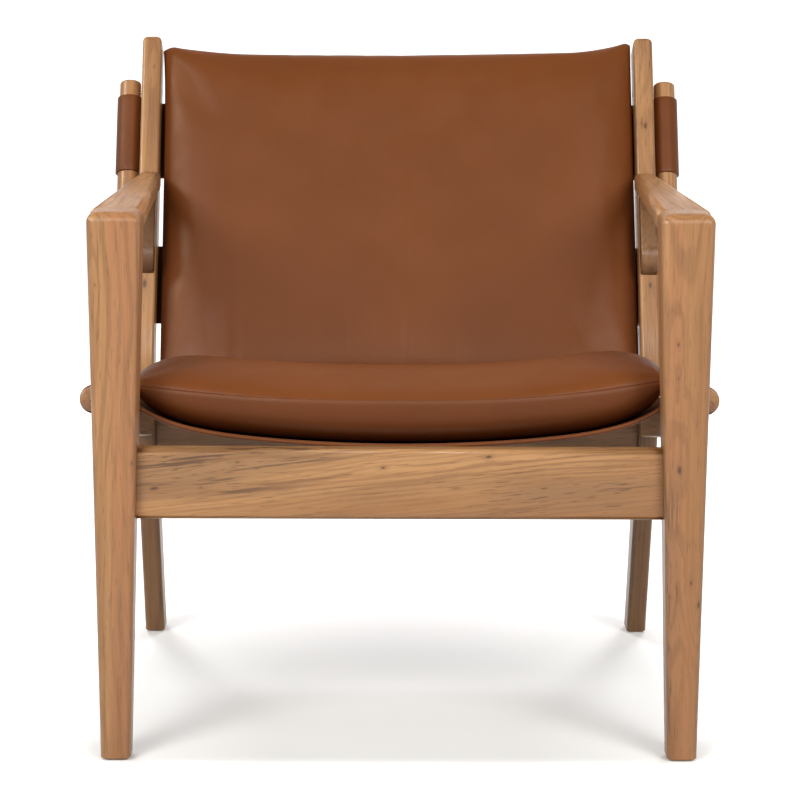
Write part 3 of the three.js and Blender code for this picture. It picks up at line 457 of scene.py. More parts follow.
arm_end = KNEE[0] + (arm_section[..., 1] - KNEE_HEIGHT) * np.tan(BACK_LEAN) - JOINT_GAP
arm_depth = arm_start + (arm_end - arm_start) * arm_t[:, None]
arm_rings = np.stack([arm_section[..., 0], arm_depth, arm_section[..., 1]], -1)
for side, sign in SIDES:
    arm_wood = oiled_wood(side + "_arm_wood", ARM_SEEDS[side], pith=(0.30, 0.50), rosy=0.5, heart=0.35)
    board(side + "_armrest", arm_rings * (sign, 1, 1), arm_rings[..., [0, 2, 1]], arm_wood, side + "_arm")

# Blocks under the rear ends of the arms: they lie along the fronts of the uprights and carry the arms.
# Their lower ends are rounded off to the upright, and painted shade darkens their wood all over.
BLOCK_LENGTH, BLOCK_DEPTH, BLOCK_TOE, BLOCK_EASE = 0.112, 0.024, 0.026, 0.0025
BLOCK_INTO_ARM = 0.001
# How much painted shade darkens each block's wood.
BLOCK_SEEDS, BLOCK_PAINTED_SHADES = {"right": 41.5, "left": 45.8}, {"right": 0.6, "left": 0.92}
block_low, block_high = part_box("right_arm_block")
arm_under = arm_high.z - ARM_REAR_DROP - ARM_THICKNESS
block_top = (arm_under - KNEE_HEIGHT) / np.cos(BACK_LEAN)


def on_upright(forward, along):
    """A place seen from the side: so far forward of the upright's front face, and so far along it from the
    knee."""
    return KNEE + np.multiply.outer(along, leaning_up) - np.multiply.outer(forward, leaning_out)


toe = np.linspace(0, np.pi / 2, 9)
block_forward = np.concatenate([[JOINT_GAP], BLOCK_DEPTH * np.sin(toe[1:]), [BLOCK_DEPTH, JOINT_GAP]])
block_along = np.concatenate([[0], BLOCK_TOE * (1 - np.cos(toe[1:])), [BLOCK_LENGTH, BLOCK_LENGTH]])
block_outline = on_upright(block_forward, block_top - BLOCK_LENGTH + block_along)
block_outline[:, 1] = np.minimum(block_outline[:, 1], arm_under + BLOCK_INTO_ARM)
block_middle = block_outline.mean(axis=0)
block_ease, block_ease_x = BLOCK_EASE * arc_drop, BLOCK_EASE * arc_inset
block_x = np.concatenate([block_low.x + block_ease_x, (block_high.x - block_ease_x)[::-1]])
block_shrink = 1 - np.concatenate([block_ease, block_ease[::-1]]) / (BLOCK_DEPTH / 2)
block_side = block_middle + (block_outline - block_middle) * block_shrink[:, None, None]
block_rings = raised(block_side, block_x)[..., [2, 0, 1]]
for side, sign in SIDES:
    shade = (BLOCK_PAINTED_SHADES[side], 1.0, 2.0)
    block_wood = oiled_wood(side + "_block_wood", BLOCK_SEEDS[side], (0.30, 0.2), rosy=0.1, heart=0.8, painted_shade=shade)
    board(side + "_block", block_rings * (sign, 1, 1), block_rings, block_wood, side + "_arm_block")

# Side rails and rear rail: planks under the seat. The side rails slope down to the back between each leg and
# post, and the rear rail ties the two rear legs together.
SEAT_SLOPE = np.radians(10)
SEAT_ORIGIN = np.array([0, front + 0.060, 0.409])
ACROSS = np.array([1, 0, 0])
SEAT_ALONG = np.array([0, np.cos(SEAT_SLOPE), -np.sin(SEAT_SLOPE)])
SEAT_UP = np.array([0, np.sin(SEAT_SLOPE), np.cos(SEAT_SLOPE)])
SIDE_RAIL_TOP, SIDE_RAIL_HEIGHT = 0.003, 0.046
SIDE_RAIL_INTO_POST = 0.004
SIDE_RAIL_SEEDS = {"right": 51.1, "left": 55.4}
REAR_GRAIN_CLIMB = 0.05
side_low, side_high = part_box("right_side_rail")


def from_origin(origin, axes, ways):
    """The place that is reached from an origin by so long a way along each axis."""
    place = origin
    for axis, way in zip(axes, np.broadcast_arrays(*ways)):
        place = place + way[..., None] * axis
    return place


def on_seat(across, along, rise):
    """A place in the seat's slanted frame: across the chair, down along the seat poles, and up square to them."""
    return from_origin(SEAT_ORIGIN, (ACROSS, SEAT_ALONG, SEAT_UP), (across, along, rise))


side_section = rounded_rings(
    [side_low.x], [side_high.x], [SIDE_RAIL_TOP - SIDE_RAIL_HEIGHT], [SIDE_RAIL_TOP], [RAIL_EASE] * 4
)[0]
side_start = on_seat(side_section[:, 0], 0.0, side_section[:, 1])
side_front = (leg_back(side_start[:, 2]) - side_start[:, 1]) / np.cos(SEAT_SLOPE) + JOINT_GAP
side_rear = (KNEE[0] - SEAT_ORIGIN[1]) / np.cos(SEAT_SLOPE)
side_drop = np.maximum(KNEE_HEIGHT - on_seat(0.0, side_rear, side_section[:, 1])[:, 2], 0)
side_back = side_rear + side_drop * (POST_FOOT_DEPTH - KNEE_DEPTH) / KNEE_HEIGHT + SIDE_RAIL_INTO_POST
side_reach = np.stack([side_front, side_back])
side_rings = on_seat(side_section[:, 0], side_reach, side_section[:, 1])
side_grain = np.stack(np.broadcast_arrays(side_section[:, 0], side_section[:, 1], side_reach), -1)
for side, sign in SIDES:
    side_wood = oiled_wood(side + "_side_rail_wood", SIDE_RAIL_SEEDS[side], (0.30, -0.06), rosy=0.2, heart=0.7)
    board(side + "_rail", side_rings * (sign, 1, 1), side_grain, side_wood, side + "_side_rail")
rear_low, rear_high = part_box("rear_rail")
rear_rings = rail_rings(rear_low, rear_high, post_inner, RAIL_EASE)
rear_wood = oiled_wood("rear_rail_wood", seed=59.9, pith=(0.22, rear_low.y + 0.05), rosy=0.2, heart=0.25)
board("rail_rear", rear_rings, rail_grain(rear_rings, REAR_GRAIN_CLIMB), rear_wood, "rear_rail")

# Poles: round hardwood rods with eased ends, which the leather sleeves turn on.
# The seat poles lie along the side rails and the back poles along the uprights, each held by two screws.
POLE_RADIUS, POLE_EASE = 0.014, 0.003
BACK_ORIGIN = np.array([0, *upper_back])
BACK_OUT = np.array([0, *leaning_out])
BACK_UP = np.array([0, *leaning_up])
SEAT_POLE_X, SEAT_POLE_LENGTH = 0.3506, 0.416
BACK_POLE_X, BACK_POLE_OUT = 0.3551, -0.014
BACK_POLE_START, BACK_POLE_END = 0.062, 0.425
POLE_SEEDS = {"right": (61.7, 63.7), "left": (66.2, 68.2)}


def on_back(across, out, along):
    """A place in the back's slanted frame: across the chair, out behind the uprights' back faces, and up along
    them."""
    return from_origin(BACK_ORIGIN, (ACROSS, BACK_OUT, BACK_UP), (across, out, along))


def turned_pole(start, end):
    """A rod turned about its axis: rings of one radius, drawn in by a quarter arc at each end. It gives the
    rings' places beside the axis, above it and along it."""
    ease, inset = POLE_EASE * arc_drop, POLE_EASE * arc_inset
    along = np.concatenate([start + inset, end - inset[::-1]])
    radius = POLE_RADIUS - np.concatenate([ease, ease[::-1]])
    angle = np.linspace(0, 2 * np.pi, 48, endpoint=False)
    return radius[:, None] * np.cos(angle), radius[:, None] * np.sin(angle), along[:, None] + 0 * angle


beside, above, along = turned_pole(0.0, SEAT_POLE_LENGTH)
seat_pole_rings = on_seat(SEAT_POLE_X + beside, along, above)
seat_pole_grain = np.stack([beside, above, along], -1)
beside, behind, along = turned_pole(BACK_POLE_START, BACK_POLE_END)
back_pole_rings = on_back(BACK_POLE_X + beside, BACK_POLE_OUT + behind, along)
back_pole_grain = np.stack([beside, behind, along], -1)
for side, sign in SIDES:
    seat_seed, back_seed = POLE_SEEDS[side]
    seat_pole_wood = oiled_wood(side + "_seat_pole_wood", seat_seed, (0.05, 0.02), rosy=0.9, heart=0.9)
    side_pole = seat_pole_rings * (sign, 1, 1)
    board(side + "_pole_seat", side_pole, seat_pole_grain, seat_pole_wood, side + "_seat_pole")
    back_pole_wood = oiled_wood(side + "_back_pole_wood", back_seed, (0.04, 0.03), rosy=0.3, heart=0.1)
    side_pole = back_pole_rings * (sign, 1, 1)
    board(side + "_pole_back", side_pole, back_pole_grain, back_pole_wood, side + "_back_pole")

# Slings: thick cognac leather with a rough back whose dark brown is partly its own and partly painted shade,
# cut from one piece each and sewn with waxed thread.
# The seat sling hangs between the side rails, with a sleeve on each seat pole.
# The back sling lies behind the uprights, and its four tabs are sewn round the back poles.
LEATHER, CUT_EDGE, CLEARANCE = 0.0025, 0.0006, 0.0001
SLEEVE_RADIUS = POLE_RADIUS + JOINT_GAP + LEATHER / 2
SLING_BROWN = (0.165, 0.049, 0.012, 1)
SLING_SHADE = (0.135, 0.038, 0.009, 1)
# The rough back's browns are partly painted shade.
ROUGH_BACK_AND_SHADE = (0.09, 0.038, 0.0145, 1)
ROUGH_BACK_AND_SHADE_LIGHT = (0.15, 0.065, 0.026, 1)
PAINTED_SHADE_BROWN = (0.055, 0.013, 0.004, 1)
THREAD_BROWN = (0.075, 0.02, 0.008, 1)
THREAD_LIGHT = (0.13, 0.04, 0.016, 1)
LEATHER_SPECULAR, ROUGHNESS_SPAN = 0.22, 0.1
CLOUDS, SPECKS, SHEEN, UNEVENNESS, PEBBLES, GRAINS = 7, 320, 26, 90, 620, 1400
GRAIN_SHARE, UNEVEN_SHARE = 0.4, 0.8


def cognac_leather(name, brown, shade, gloss, pebble):
    """Dyed satin leather: slow and fine noise mix two close browns, which the piece's own painted shade darkens
    towards a deep brown, and fine cells of two sizes pebble the surface, by so much, with a faint unevenness
    between them."""
    material, tree, shader = blank_material(name)
    place = grow(tree, "ShaderNodeTexCoord", {}).outputs["Object"]

    def noise(scale):
        """Noise with so many features a metre."""
        return grow(tree, "ShaderNodeTexNoise", {"Vector": place, "Scale": scale, "Detail": 3}).outputs[0]

    def cells(scale):
        """Distance from the middles of cells, with so many cells a metre."""
        return grow(tree, "ShaderNodeTexVoronoi", {"Vector": place, "Scale": scale}).outputs["Distance"]

    colour = tinted(tree, between(tree, noise(CLOUDS), 0.3, 0.75), brown, shade)
    colour = tinted(tree, between(tree, noise(SPECKS), 0.5, 0.8, 0.0, 0.35), colour, shade)
    # Painted shade: the piece's painted_shade attribute darkens the leather.
    painted_shade = grow(tree, "ShaderNodeAttribute", {}, attribute_name="painted_shade").outputs["Fac"]
    tree.links.new(tinted(tree, painted_shade, colour, PAINTED_SHADE_BROWN), shader.inputs["Base Color"])
    roughness = between(tree, noise(SHEEN), 0.3, 0.7, gloss, gloss + ROUGHNESS_SPAN)
    tree.links.new(roughness, shader.inputs["Roughness"])
    shader.inputs["Specular IOR Level"].default_value = LEATHER_SPECULAR
    height = plus(tree, cells(PEBBLES), GRAIN_SHARE, cells(GRAINS))
    height = plus(tree, height, UNEVEN_SHARE, noise(UNEVENNESS))
    bumped(tree, shader, height, strength=pebble, depth=0.0005)
    return material


def plain_finish(name, light, dark, scale, roughness, metallic=0.0):
    """A finish of two close shades mixed by noise, with a slight tooth to the surface."""
    material, tree, shader = blank_material(name)
    place = grow(tree, "ShaderNodeTexCoord", {}).outputs["Object"]
    speckle = grow(tree, "ShaderNodeTexNoise", {"Vector": place, "Scale": scale, "Detail": 4}).outputs[0]
    tree.links.new(tinted(tree, between(tree, speckle, 0.3, 0.7), light, dark), shader.inputs["Base Color"])
    shader.inputs["Roughness"].default_value = roughness
    shader.inputs["Metallic"].default_value = metallic
    bumped(tree, shader, speckle, strength=0.3, depth=0.0003)
    return material


sling_leather = cognac_leather("sling_leather", SLING_BROWN, SLING_SHADE, gloss=0.4, pebble=0.2)
sling_back = plain_finish("sling_rough_back", ROUGH_BACK_AND_SHADE_LIGHT, ROUGH_BACK_AND_SHADE, scale=500, roughness=0.95)
sewing_thread = plain_finish("sewing_thread", THREAD_LIGHT, THREAD_BROWN, scale=2500, roughness=0.7)


def grid_faces(index):
    """The four-sided faces between the numbered points of a grid."""
    return np.stack([index[:-1, :-1], index[1:, :-1], index[1:, 1:], index[:-1, 1:]], -1)


def sling(name, points, kept, node):
    """A sheet of leather on a grid of points, of which only the kept faces are cut, thickened to both sides. The
    grid runs so that its faces look in from the rough side."""
    rows, columns = points.shape[:2]
    quads = grid_faces(np.arange(rows * columns).reshape(rows, columns))[kept]
    used, faces = np.unique(quads, return_inverse=True)
    mesh = bpy.data.meshes.new(name)
    mesh.from_pydata(points.reshape(-1, 3)[used], [], faces.reshape(-1, 4).tolist())
    mesh.shade_smooth()
    mesh.materials.append(sling_back)
    mesh.materials.append(sling_leather)
    piece = placed(name, mesh)
    thick = piece.modifiers.new("thickness", "SOLIDIFY")
    thick.thickness = LEATHER
    thick.offset = 0
    thick.material_offset = 1
    thick.material_offset_rim = 1
    edge = piece.modifiers.new("cut_edge", "BEVEL")
    edge.width = CUT_EDGE
    edge.segments = 2
    edge.limit_method = "ANGLE"
    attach(piece, "frame")
    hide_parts(node)
    return piece


def stitches(name, lines, body, spacing=0.005, length=0.0036, radius=0.0005):
    """Sewing thread: slim beads laid end to end along lines of points, each with its outward normals. A bead is
    a ring of six points carried along its length, whose radius is the root of one minus the squared way to its
    end."""
    way = np.array([-0.98, -0.6, 0.0, 0.6, 0.98])
    turn = np.linspace(0, 2 * np.pi, 6, endpoint=False)
    swell = np.sqrt(1 - way**2)[None, :, None, None]
    beads = []
    for points, normals in lines:
        run = np.concatenate([[0], np.cumsum(np.linalg.norm(np.diff(points, axis=0), axis=1))])
        at = np.arange(spacing / 2, run[-1] - spacing / 2, spacing)

        def along(values, offset):
            """The values at each bead, so far onward."""
            return np.stack([np.interp(at + offset, run, column) for column in values.T], -1)

        ahead = along(points, length / 2) - along(points, -length / 2)
        ahead /= np.linalg.norm(ahead, axis=1, keepdims=True)
        out = along(normals, 0)
        out -= ahead * (out * ahead).sum(1, keepdims=True)
        out /= np.linalg.norm(out, axis=1, keepdims=True)
        over = np.cross(ahead, out)
        around = over[:, None, None] * np.cos(turn)[:, None] + out[:, None, None] * np.sin(turn)[:, None]
        reach = (way * length / 2)[None, :, None, None]
        spine = along(points, 0)[:, None, None] + ahead[:, None, None] * reach
        beads.append(spine + radius * swell * around)
    beads = np.concatenate(beads)
    index = np.arange(beads[..., 0].size).reshape(beads.shape[:3])
    onward = np.roll(index, -1, axis=2)
    sides = np.stack([index[:, :-1], onward[:, :-1], onward[:, 1:], index[:, 1:]], -1).reshape(-1, 4)
    ends = np.concatenate([index[:, 0, ::-1], index[:, -1]])
    mesh = bpy.data.meshes.new(name)
    mesh.from_pydata(beads.reshape(-1, 3), [], sides.tolist() + ends.tolist())
    mesh.shade_smooth()
    mesh.materials.append(sewing_thread)
    outward(mesh)
    piece = placed(name, mesh)
    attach(piece, body)
    return piece


SLING_REST = JOINT_GAP + LEATHER / 2
BACK_PANEL_HALF, BACK_BULGE = 0.300, 0.014
BACK_SLING_LOW, BACK_SLING_HIGH = 0.040, 0.431
TABS = ((0.092, 0.199), (0.295, 0.402))
BACK_WRAP, SEAT_WRAP = np.radians([340, 335])
WRAP_POINTS, LAP_POINTS = 49, 8
HEM, STITCH_PROUD, STITCH_INSET = 0.008, LEATHER / 2 + CLEARANCE, 0.004
TAB_SEAMS, SLEEVE_SEAMS = (0.001, 0.006), (0.003, 0.008)
wrap = np.pi / 2 - np.linspace(0, BACK_WRAP, WRAP_POINTS)[1:]
lap = np.linspace(BACK_PANEL_HALF, BACK_POLE_X, LAP_POINTS)
side_x = np.concatenate([lap, BACK_POLE_X + SLEEVE_RADIUS * np.cos(wrap)])
side_out = np.concatenate([np.full(LAP_POINTS, SLING_REST), BACK_POLE_OUT + SLEEVE_RADIUS * np.sin(wrap)])
panel_x = np.linspace(-BACK_PANEL_HALF, BACK_PANEL_HALF, 61)


def back_hang(across):
    """Place of the back panel behind the uprights: flat at its sides, and further back between them by the bulge
    times one minus the squared way out."""
    return SLING_REST + BACK_BULGE * np.maximum(1 - (across / BACK_PANEL_HALF) ** 2, 0)


profile_x = np.concatenate([-side_x[:0:-1], panel_x, side_x[1:]])
profile_out = np.concatenate([side_out[:0:-1], back_hang(panel_x), side_out[1:]])
stations = [BACK_SLING_LOW, *TABS[0], *TABS[1], BACK_SLING_HIGH]
rows = np.unique(np.concatenate([np.linspace(a, b, 14) for a, b in zip(stations, stations[1:])]))
middle_rows = (rows[1:] + rows[:-1]) / 2
in_tab = np.any([(middle_rows > low) & (middle_rows < high) for low, high in TABS], axis=0)
strip = np.arange(len(profile_x) - 1)
in_panel = (strip >= len(side_x) - 1) & (strip < len(side_x) + len(panel_x) - 2)
back_sling_points = on_back(profile_x[:, None], profile_out[:, None], rows[None])
back_sling = sling("sling_back", back_sling_points, in_panel[:, None] | in_tab[None], "back_sling")
hem_x = np.linspace(-BACK_PANEL_HALF + HEM, BACK_PANEL_HALF - HEM, 61)
hem_out = back_hang(hem_x) + STITCH_PROUD
back_lines = [on_back(hem_x, hem_out, row) for row in (BACK_SLING_LOW + HEM, BACK_SLING_HIGH - HEM)]
back_lines += [
    on_back(sign * (post_high.x - inset), SLING_REST + STITCH_PROUD, row)
    for sign in (-1, 1)
    for row in [np.linspace(low + STITCH_INSET, high - STITCH_INSET, 12) for low, high in TABS]
    for inset in TAB_SEAMS
]
back_seams = [(line, np.tile(BACK_OUT, (len(line), 1))) for line in back_lines]
stitches("stitching_back_sling", back_seams, "frame")

SEAT_SAG, SEAT_SIDE_SAG, SEAT_SIDE_POWER = 0.0275, 0.0285, 8
SEAT_SHEET_START, SEAT_SHEET_END = 0.004, 0.402
SEAT_SLEEVE_START, SEAT_SLEEVE_END = 0.028, 0.378
SEAT_HEM, HEM_REACH, FOLD_RADIUS = 0.012, 0.296, LEATHER / 2 + CLEARANCE
LAP_END_GAP, WRAP_SKIPPED = 0.003, 3


def seat_hang(across):
    """Height of the hanging sheet's underside: level with the rails at the sides, and lower between them by two
    sags, one times one minus the squared way out to the rail, the other with a high power for the steep sides."""
    inside = np.minimum(np.abs(across) / side_low.x, 1)
    fall = SEAT_SAG * (1 - inside**2) + SEAT_SIDE_SAG * (1 - inside**SEAT_SIDE_POWER)
    return SIDE_RAIL_TOP + JOINT_GAP - fall


hang_x = -side_low.x * np.sin(np.linspace(-np.pi / 2, np.pi / 2, 91))
hang_rise = seat_hang(hang_x) + LEATHER / 2
seat_wrap = np.pi - np.linspace(0, SEAT_WRAP, WRAP_POINTS)[WRAP_SKIPPED:]
lap_x = np.linspace(side_low.x, SEAT_POLE_X - SLEEVE_RADIUS - LAP_END_GAP, LAP_POINTS)
over_x = np.concatenate([lap_x, SEAT_POLE_X + SLEEVE_RADIUS * np.cos(seat_wrap)])
over_rise = np.concatenate([np.full(LAP_POINTS, hang_rise[0]), SLEEVE_RADIUS * np.sin(seat_wrap)])
seat_x = np.concatenate([over_x[:0:-1], hang_x, -over_x[1:]])
seat_rise = np.concatenate([over_rise[:0:-1], hang_rise, over_rise[1:]])
stations = [SEAT_SHEET_START, SEAT_SLEEVE_START, SEAT_SLEEVE_END, SEAT_SHEET_END]
seat_rows = np.unique(np.concatenate([np.linspace(a, b, 20) for a, b in zip(stations, stations[1:])]))
fold = np.linspace(0, np.pi, 7)
fold_along = SEAT_SHEET_START + FOLD_RADIUS * (1 - np.sin(fold))
hem_along = np.linspace(SEAT_SHEET_START + SEAT_HEM, fold_along[0], 4)[:-1]
front_along = np.concatenate([hem_along, fold_along[:-1]])
front_lift = np.concatenate([np.full(len(hem_along), 2 * FOLD_RADIUS), FOLD_RADIUS * (1 + np.cos(fold[:-1]))])
main_along = np.clip(seat_rows, fold_along[0], SEAT_SHEET_START + SEAT_SHEET_END - fold_along[0])
rear_along = SEAT_SHEET_START + SEAT_SHEET_END - front_along[::-1]
sheet_along = np.concatenate([front_along, main_along, rear_along])
sheet_lift = np.concatenate([front_lift, 0 * seat_rows, front_lift[::-1]])
sheet_middle = (sheet_along[1:] + sheet_along[:-1]) / 2
in_hem = (sheet_lift[1:] + sheet_lift[:-1]) > 0
in_sleeve = (sheet_middle > SEAT_SLEEVE_START) & (sheet_middle < SEAT_SLEEVE_END) & ~in_hem
seat_strip = np.arange(len(seat_x) - 1)
hanging = (seat_strip >= len(over_x) - 1) & (seat_strip < len(over_x) + len(hang_x) - 2)
hemmed = np.maximum(np.abs(seat_x[1:]), np.abs(seat_x[:-1])) < HEM_REACH
seat_cut = np.where(in_hem[None], hemmed[:, None], hanging[:, None] | in_sleeve[None])
sheet_way = np.hypot(np.gradient(seat_x), np.gradient(seat_rise))
lift_x, lift_rise = -np.gradient(seat_rise) / sheet_way, np.gradient(seat_x) / sheet_way
seat_sling_points = on_seat(
    seat_x[:, None] + lift_x[:, None] * sheet_lift[None],
    sheet_along[None],
    seat_rise[:, None] + lift_rise[:, None] * sheet_lift[None],
)
seat_sling = sling("sling_seat", seat_sling_points, seat_cut, "seat_sling")
sleeve_row = np.linspace(SEAT_SLEEVE_START + STITCH_INSET, SEAT_SLEEVE_END - STITCH_INSET, 30)
seat_lines = [
    on_seat(sign * (side_high.x - inset), sleeve_row, hang_rise[0] + STITCH_PROUD)
    for sign in (-1, 1)
    for inset in SLEEVE_SEAMS
]
seat_seams = [(line, np.tile(SEAT_UP, (len(line), 1))) for line in seat_lines]
stitches("stitching_seat_sling", seat_seams, "frame")

# Cushions: foam in leather covers, each of two panels sewn together along one seam round the edge.
# The seat cushion lies loose in its sling; the back cushion leans on its own sling between the posts.
# Each cover is filled by a cloth simulation that holds the seam and the panel it rests on.
CUSHION_BROWN = (0.176, 0.0505, 0.011, 1)
CUSHION_SHADE = (0.156, 0.044, 0.0095, 1)
CUSHION_GAP = 0.0006
SEAM_GROOVE, SEAM_CREASE = 0.0013, 0.9
CALMING_ROUNDS, KEPT_CREASES = 60, 0.3
STEPS_ACROSS, STEPS_ALONG = 92, 68
EASED_TO, EASING = 0.99, 0.4 * np.pi
BESIDE_SEAM = np.array([0.997, 0.9996, 1])
FILLING_FRAMES = 20
COVER_CLOTH = {
    "quality": 5,
    "mass": 0.3,
    "tension_stiffness": 45,
    "compression_stiffness": 45,
    "shear_stiffness": 25,
    "bending_stiffness": 10,
    "shrink_min": -0.003,
    "use_pressure": True,
    "uniform_pressure_force": 4.0,
    "vertex_group_mass": "held",
}
cushion_leather = cognac_leather("cushion_leather", CUSHION_BROWN, CUSHION_SHADE, gloss=0.41, pebble=0.14)


def ways(steps):
    """Ways over a panel from -1 to 1: eased towards the seams by a sine, with two more close beside each seam."""
    inner = EASED_TO * np.sin(EASING * np.linspace(-1, 1, steps)) / np.sin(EASING)
    return np.concatenate([-BESIDE_SEAM[::-1], inner, BESIDE_SEAM])


def rim(way, power):
    """Fullness from a seam to the middle: the root of one minus a power of the way out."""
    return np.sqrt(np.maximum(1 - np.abs(way) ** power, 0))


def by_side(a, values):
    """The left value on the left of the middle, and the right value on its right."""
    return np.where(a < 0, values[-1], values[1])


def filled(piece, held, reach):
    """Blows the cover up as cloth under pressure, with no weight, while the held points stay, and gives the
    points' new places, none of them further from the old one than the reach."""
    count = len(piece.data.vertices)
    old = np.empty(count * 3, np.float32)
    piece.data.vertices.foreach_get("co", old)
    old = old.reshape(-1, 3)
    piece.vertex_groups.new(name="held").add(np.flatnonzero(held).tolist(), 1.0, "REPLACE")
    cloth = piece.modifiers.new("filling", "CLOTH")
    for setting, value in COVER_CLOTH.items():
        setattr(cloth.settings, setting, value)
    cloth.settings.effector_weights.gravity = 0
    cloth.collision_settings.use_collision = False
    cloth.point_cache.frame_end = FILLING_FRAMES
    for number in range(1, FILLING_FRAMES + 1):
        scene.frame_set(number)
    blown = piece.evaluated_get(bpy.context.evaluated_depsgraph_get())
    new = np.empty(count * 3, np.float32)
    blown.data.vertices.foreach_get("co", new)
    move = new.reshape(-1, 3) - old
    size = np.linalg.norm(move, axis=1, keepdims=True)
    piece.modifiers.remove(cloth)
    piece.vertex_groups.clear()
    scene.frame_set(1)
    return old + move * np.minimum(1, reach / np.maximum(size, 1e-9))


def calmed(push):
    """The cover's push outwards with its creases eased: rounds of averaging each point with its four neighbours
    give the soft part, and a share of the rest is added again."""
    soft = push.copy()
    for _ in range(CALMING_ROUNDS):
        beside = soft[2:, 1:-1] + soft[:-2, 1:-1] + soft[1:-1, 2:] + soft[1:-1, :-2]
        soft[1:-1, 1:-1] = 0.5 * soft[1:-1, 1:-1] + 0.125 * beside
    return soft + KEPT_CREASES * (push - soft)


def cover(name, face, rest, onward, wrinkles, painted_shade, body, node, reach, topstitched):
    """Two panels over one outline that meet in its seam: a panel stands off the seam by its depth times the
    fullness of the ways across and along. face and rest give the two panels' places, onward is the direction
    along the cushion, and wrinkles a push outwards that is added to the filled face. painted_shade gives how much
    painted shade darkens each panel. The seam lies in a fine groove, drawn in towards the middle."""
    a, b = ways(STEPS_ACROSS)[:, None], ways(STEPS_ALONG)[None]
    edge = np.ones((a.size, b.size), bool)
    edge[1:-1, 1:-1] = False
    upper, lower = face(a, b), rest(a, b)
    upper_index = np.arange(edge.size).reshape(edge.shape)
    lower_index = upper_index.copy()
    inside = (a.size - 2, b.size - 2)
    lower_index[1:-1, 1:-1] = edge.size + np.arange(inside[0] * inside[1]).reshape(inside)
    panels = [grid_faces(upper_index), grid_faces(lower_index)[..., ::-1]]
    faces = np.concatenate([panel.reshape(-1, 4) for panel in panels])
    mesh = bpy.data.meshes.new(name)
    points = np.concatenate([upper.reshape(-1, 3), lower[1:-1, 1:-1].reshape(-1, 3)])
    mesh.from_pydata(points, [], faces.tolist())
    mesh.shade_smooth()
    mesh.materials.append(cushion_leather)
    piece = placed(name, mesh)
    held = np.ones(len(points), bool)
    held[upper_index[1:-1, 1:-1]] = False
    push = filled(piece, held, reach)[upper_index] - points[upper_index]
    points[upper_index] += calmed(push)
    mesh.vertices.foreach_set("co", points.astype(np.float32).ravel())
    mesh.update()
    normals = np.empty(points.size, np.float32)
    mesh.vertex_normals.foreach_get("vector", normals)
    normals = normals.reshape(-1, 3)
    folds = wrinkles(a, b)[..., None]
    points[upper_index] += normals[upper_index] * folds
    points[lower_index[1:-1, 1:-1]] -= normals[lower_index[1:-1, 1:-1]] * np.abs(folds[1:-1, 1:-1])
    from_side = np.where(np.abs(a) >= 1, -np.sign(a), 0) + 0 * b
    from_end = np.where(np.abs(b) >= 1, -np.sign(b), 0) + 0 * a
    inward = from_side[..., None] * ACROSS + from_end[..., None] * onward
    points[upper_index[edge]] += SEAM_GROOVE * inward[edge]
    mesh.vertices.foreach_set("co", points.astype(np.float32).ravel())
    ends = np.empty(len(mesh.edges) * 2, np.int32)
    mesh.edges.foreach_get("vertices", ends)
    on_seam = np.isin(ends.reshape(-1, 2), upper_index[edge]).all(axis=1)
    mesh.attributes.new("crease_edge", "FLOAT", "EDGE").data.foreach_set("value", SEAM_CREASE * on_seam)
    # Painted shade: each point's darkening is kept in the painted_shade attribute.
    face_painted_shade, rest_painted_shade = painted_shade(a, b)
    darkness = np.concatenate([face_painted_shade.ravel(), rest_painted_shade[1:-1, 1:-1].ravel()]).astype(np.float32)
    mesh.attributes.new("painted_shade", "FLOAT", "POINT").data.foreach_set("value", darkness)
    mesh.update()
    smooth = piece.modifiers.new("smooth", "SUBSURF")
    smooth.levels = smooth.render_levels = 1
    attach(piece, body)
    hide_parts(node)
    if topstitched:
        ring = [upper_index[1:-1, 1], upper_index[-2, 1:-1], upper_index[-2:0:-1, -2], upper_index[1, -2:0:-1]]
        ring = np.concatenate(ring)
        stitches("stitching_" + name, [(points[ring], normals[ring])], body)


SEAT_HALF, SEAT_DEPTH, SEAT_BOW = 0.307, 0.412, 0.020
SEAT_SEAM, SEAT_SEAM_POWER, SEAT_CROWN = -0.0022, 2.5, 0.037
SEAT_TOP_ACROSS, SEAT_TOP_ALONG = 10, 4.5
SEAT_BED_ACROSS, SEAT_BED_ALONG = 26, 9.5
SEAT_SEAM_LIFT, SEAT_SHOULDERS = {-1: 0.018, 1: 0.026}, {-1: 0.004, 1: 0.007}
SEAT_FOLDS, SEAT_FOLD_WAVES = {-1: 0.0004, 1: 0.0012}, (170, 9)
FOLDS_FROM, FOLDS_SPAN, FOLDS_REACH, FOLDS_RIM = 0.8, 0.17, 0.16, 40
SEAT_UNDER_PAINTED_SHADE = 0.34
SEAT_REACH = 0.008


def seat_outline(a, b):
    """Place of the seat cushion's outline: straight sides, and a front that bows forward in the middle."""
    bow = SEAT_BOW * (1 - a**2) * (1 - b) / 2
    return SEAT_HALF * a + 0 * b, SEAT_DEPTH * (b + 1) / 2 - bow


def seat_seam(a):
    """Height of the seat cushion's seam, which rises towards the sides."""
    return SEAT_SEAM + by_side(a, SEAT_SEAM_LIFT) * np.abs(a) ** SEAT_SEAM_POWER


def seat_top(a, b):
    """The upper panel stands off the seam by the crown, and by a little more at its shoulders, which a sine of
    the way out raises on each side."""
    across, along = seat_outline(a, b)
    shoulder = by_side(a, SEAT_SHOULDERS) * np.sin(np.pi / 2 * np.abs(a)) ** 4
    full = rim(a, SEAT_TOP_ACROSS) * rim(b, SEAT_TOP_ALONG)
    return on_seat(across, along, seat_seam(a) + (SEAT_CROWN + shoulder) * full)


def seat_under(a, b):
    """The lower panel goes from the seam down to the sling that it lies on."""
    across, along = seat_outline(a, b)
    bed = seat_hang(across) + LEATHER + CUSHION_GAP
    full = rim(a, SEAT_BED_ACROSS) * rim(b, SEAT_BED_ALONG)
    return on_seat(across, along, seat_seam(a) + (bed - seat_seam(a)) * full)


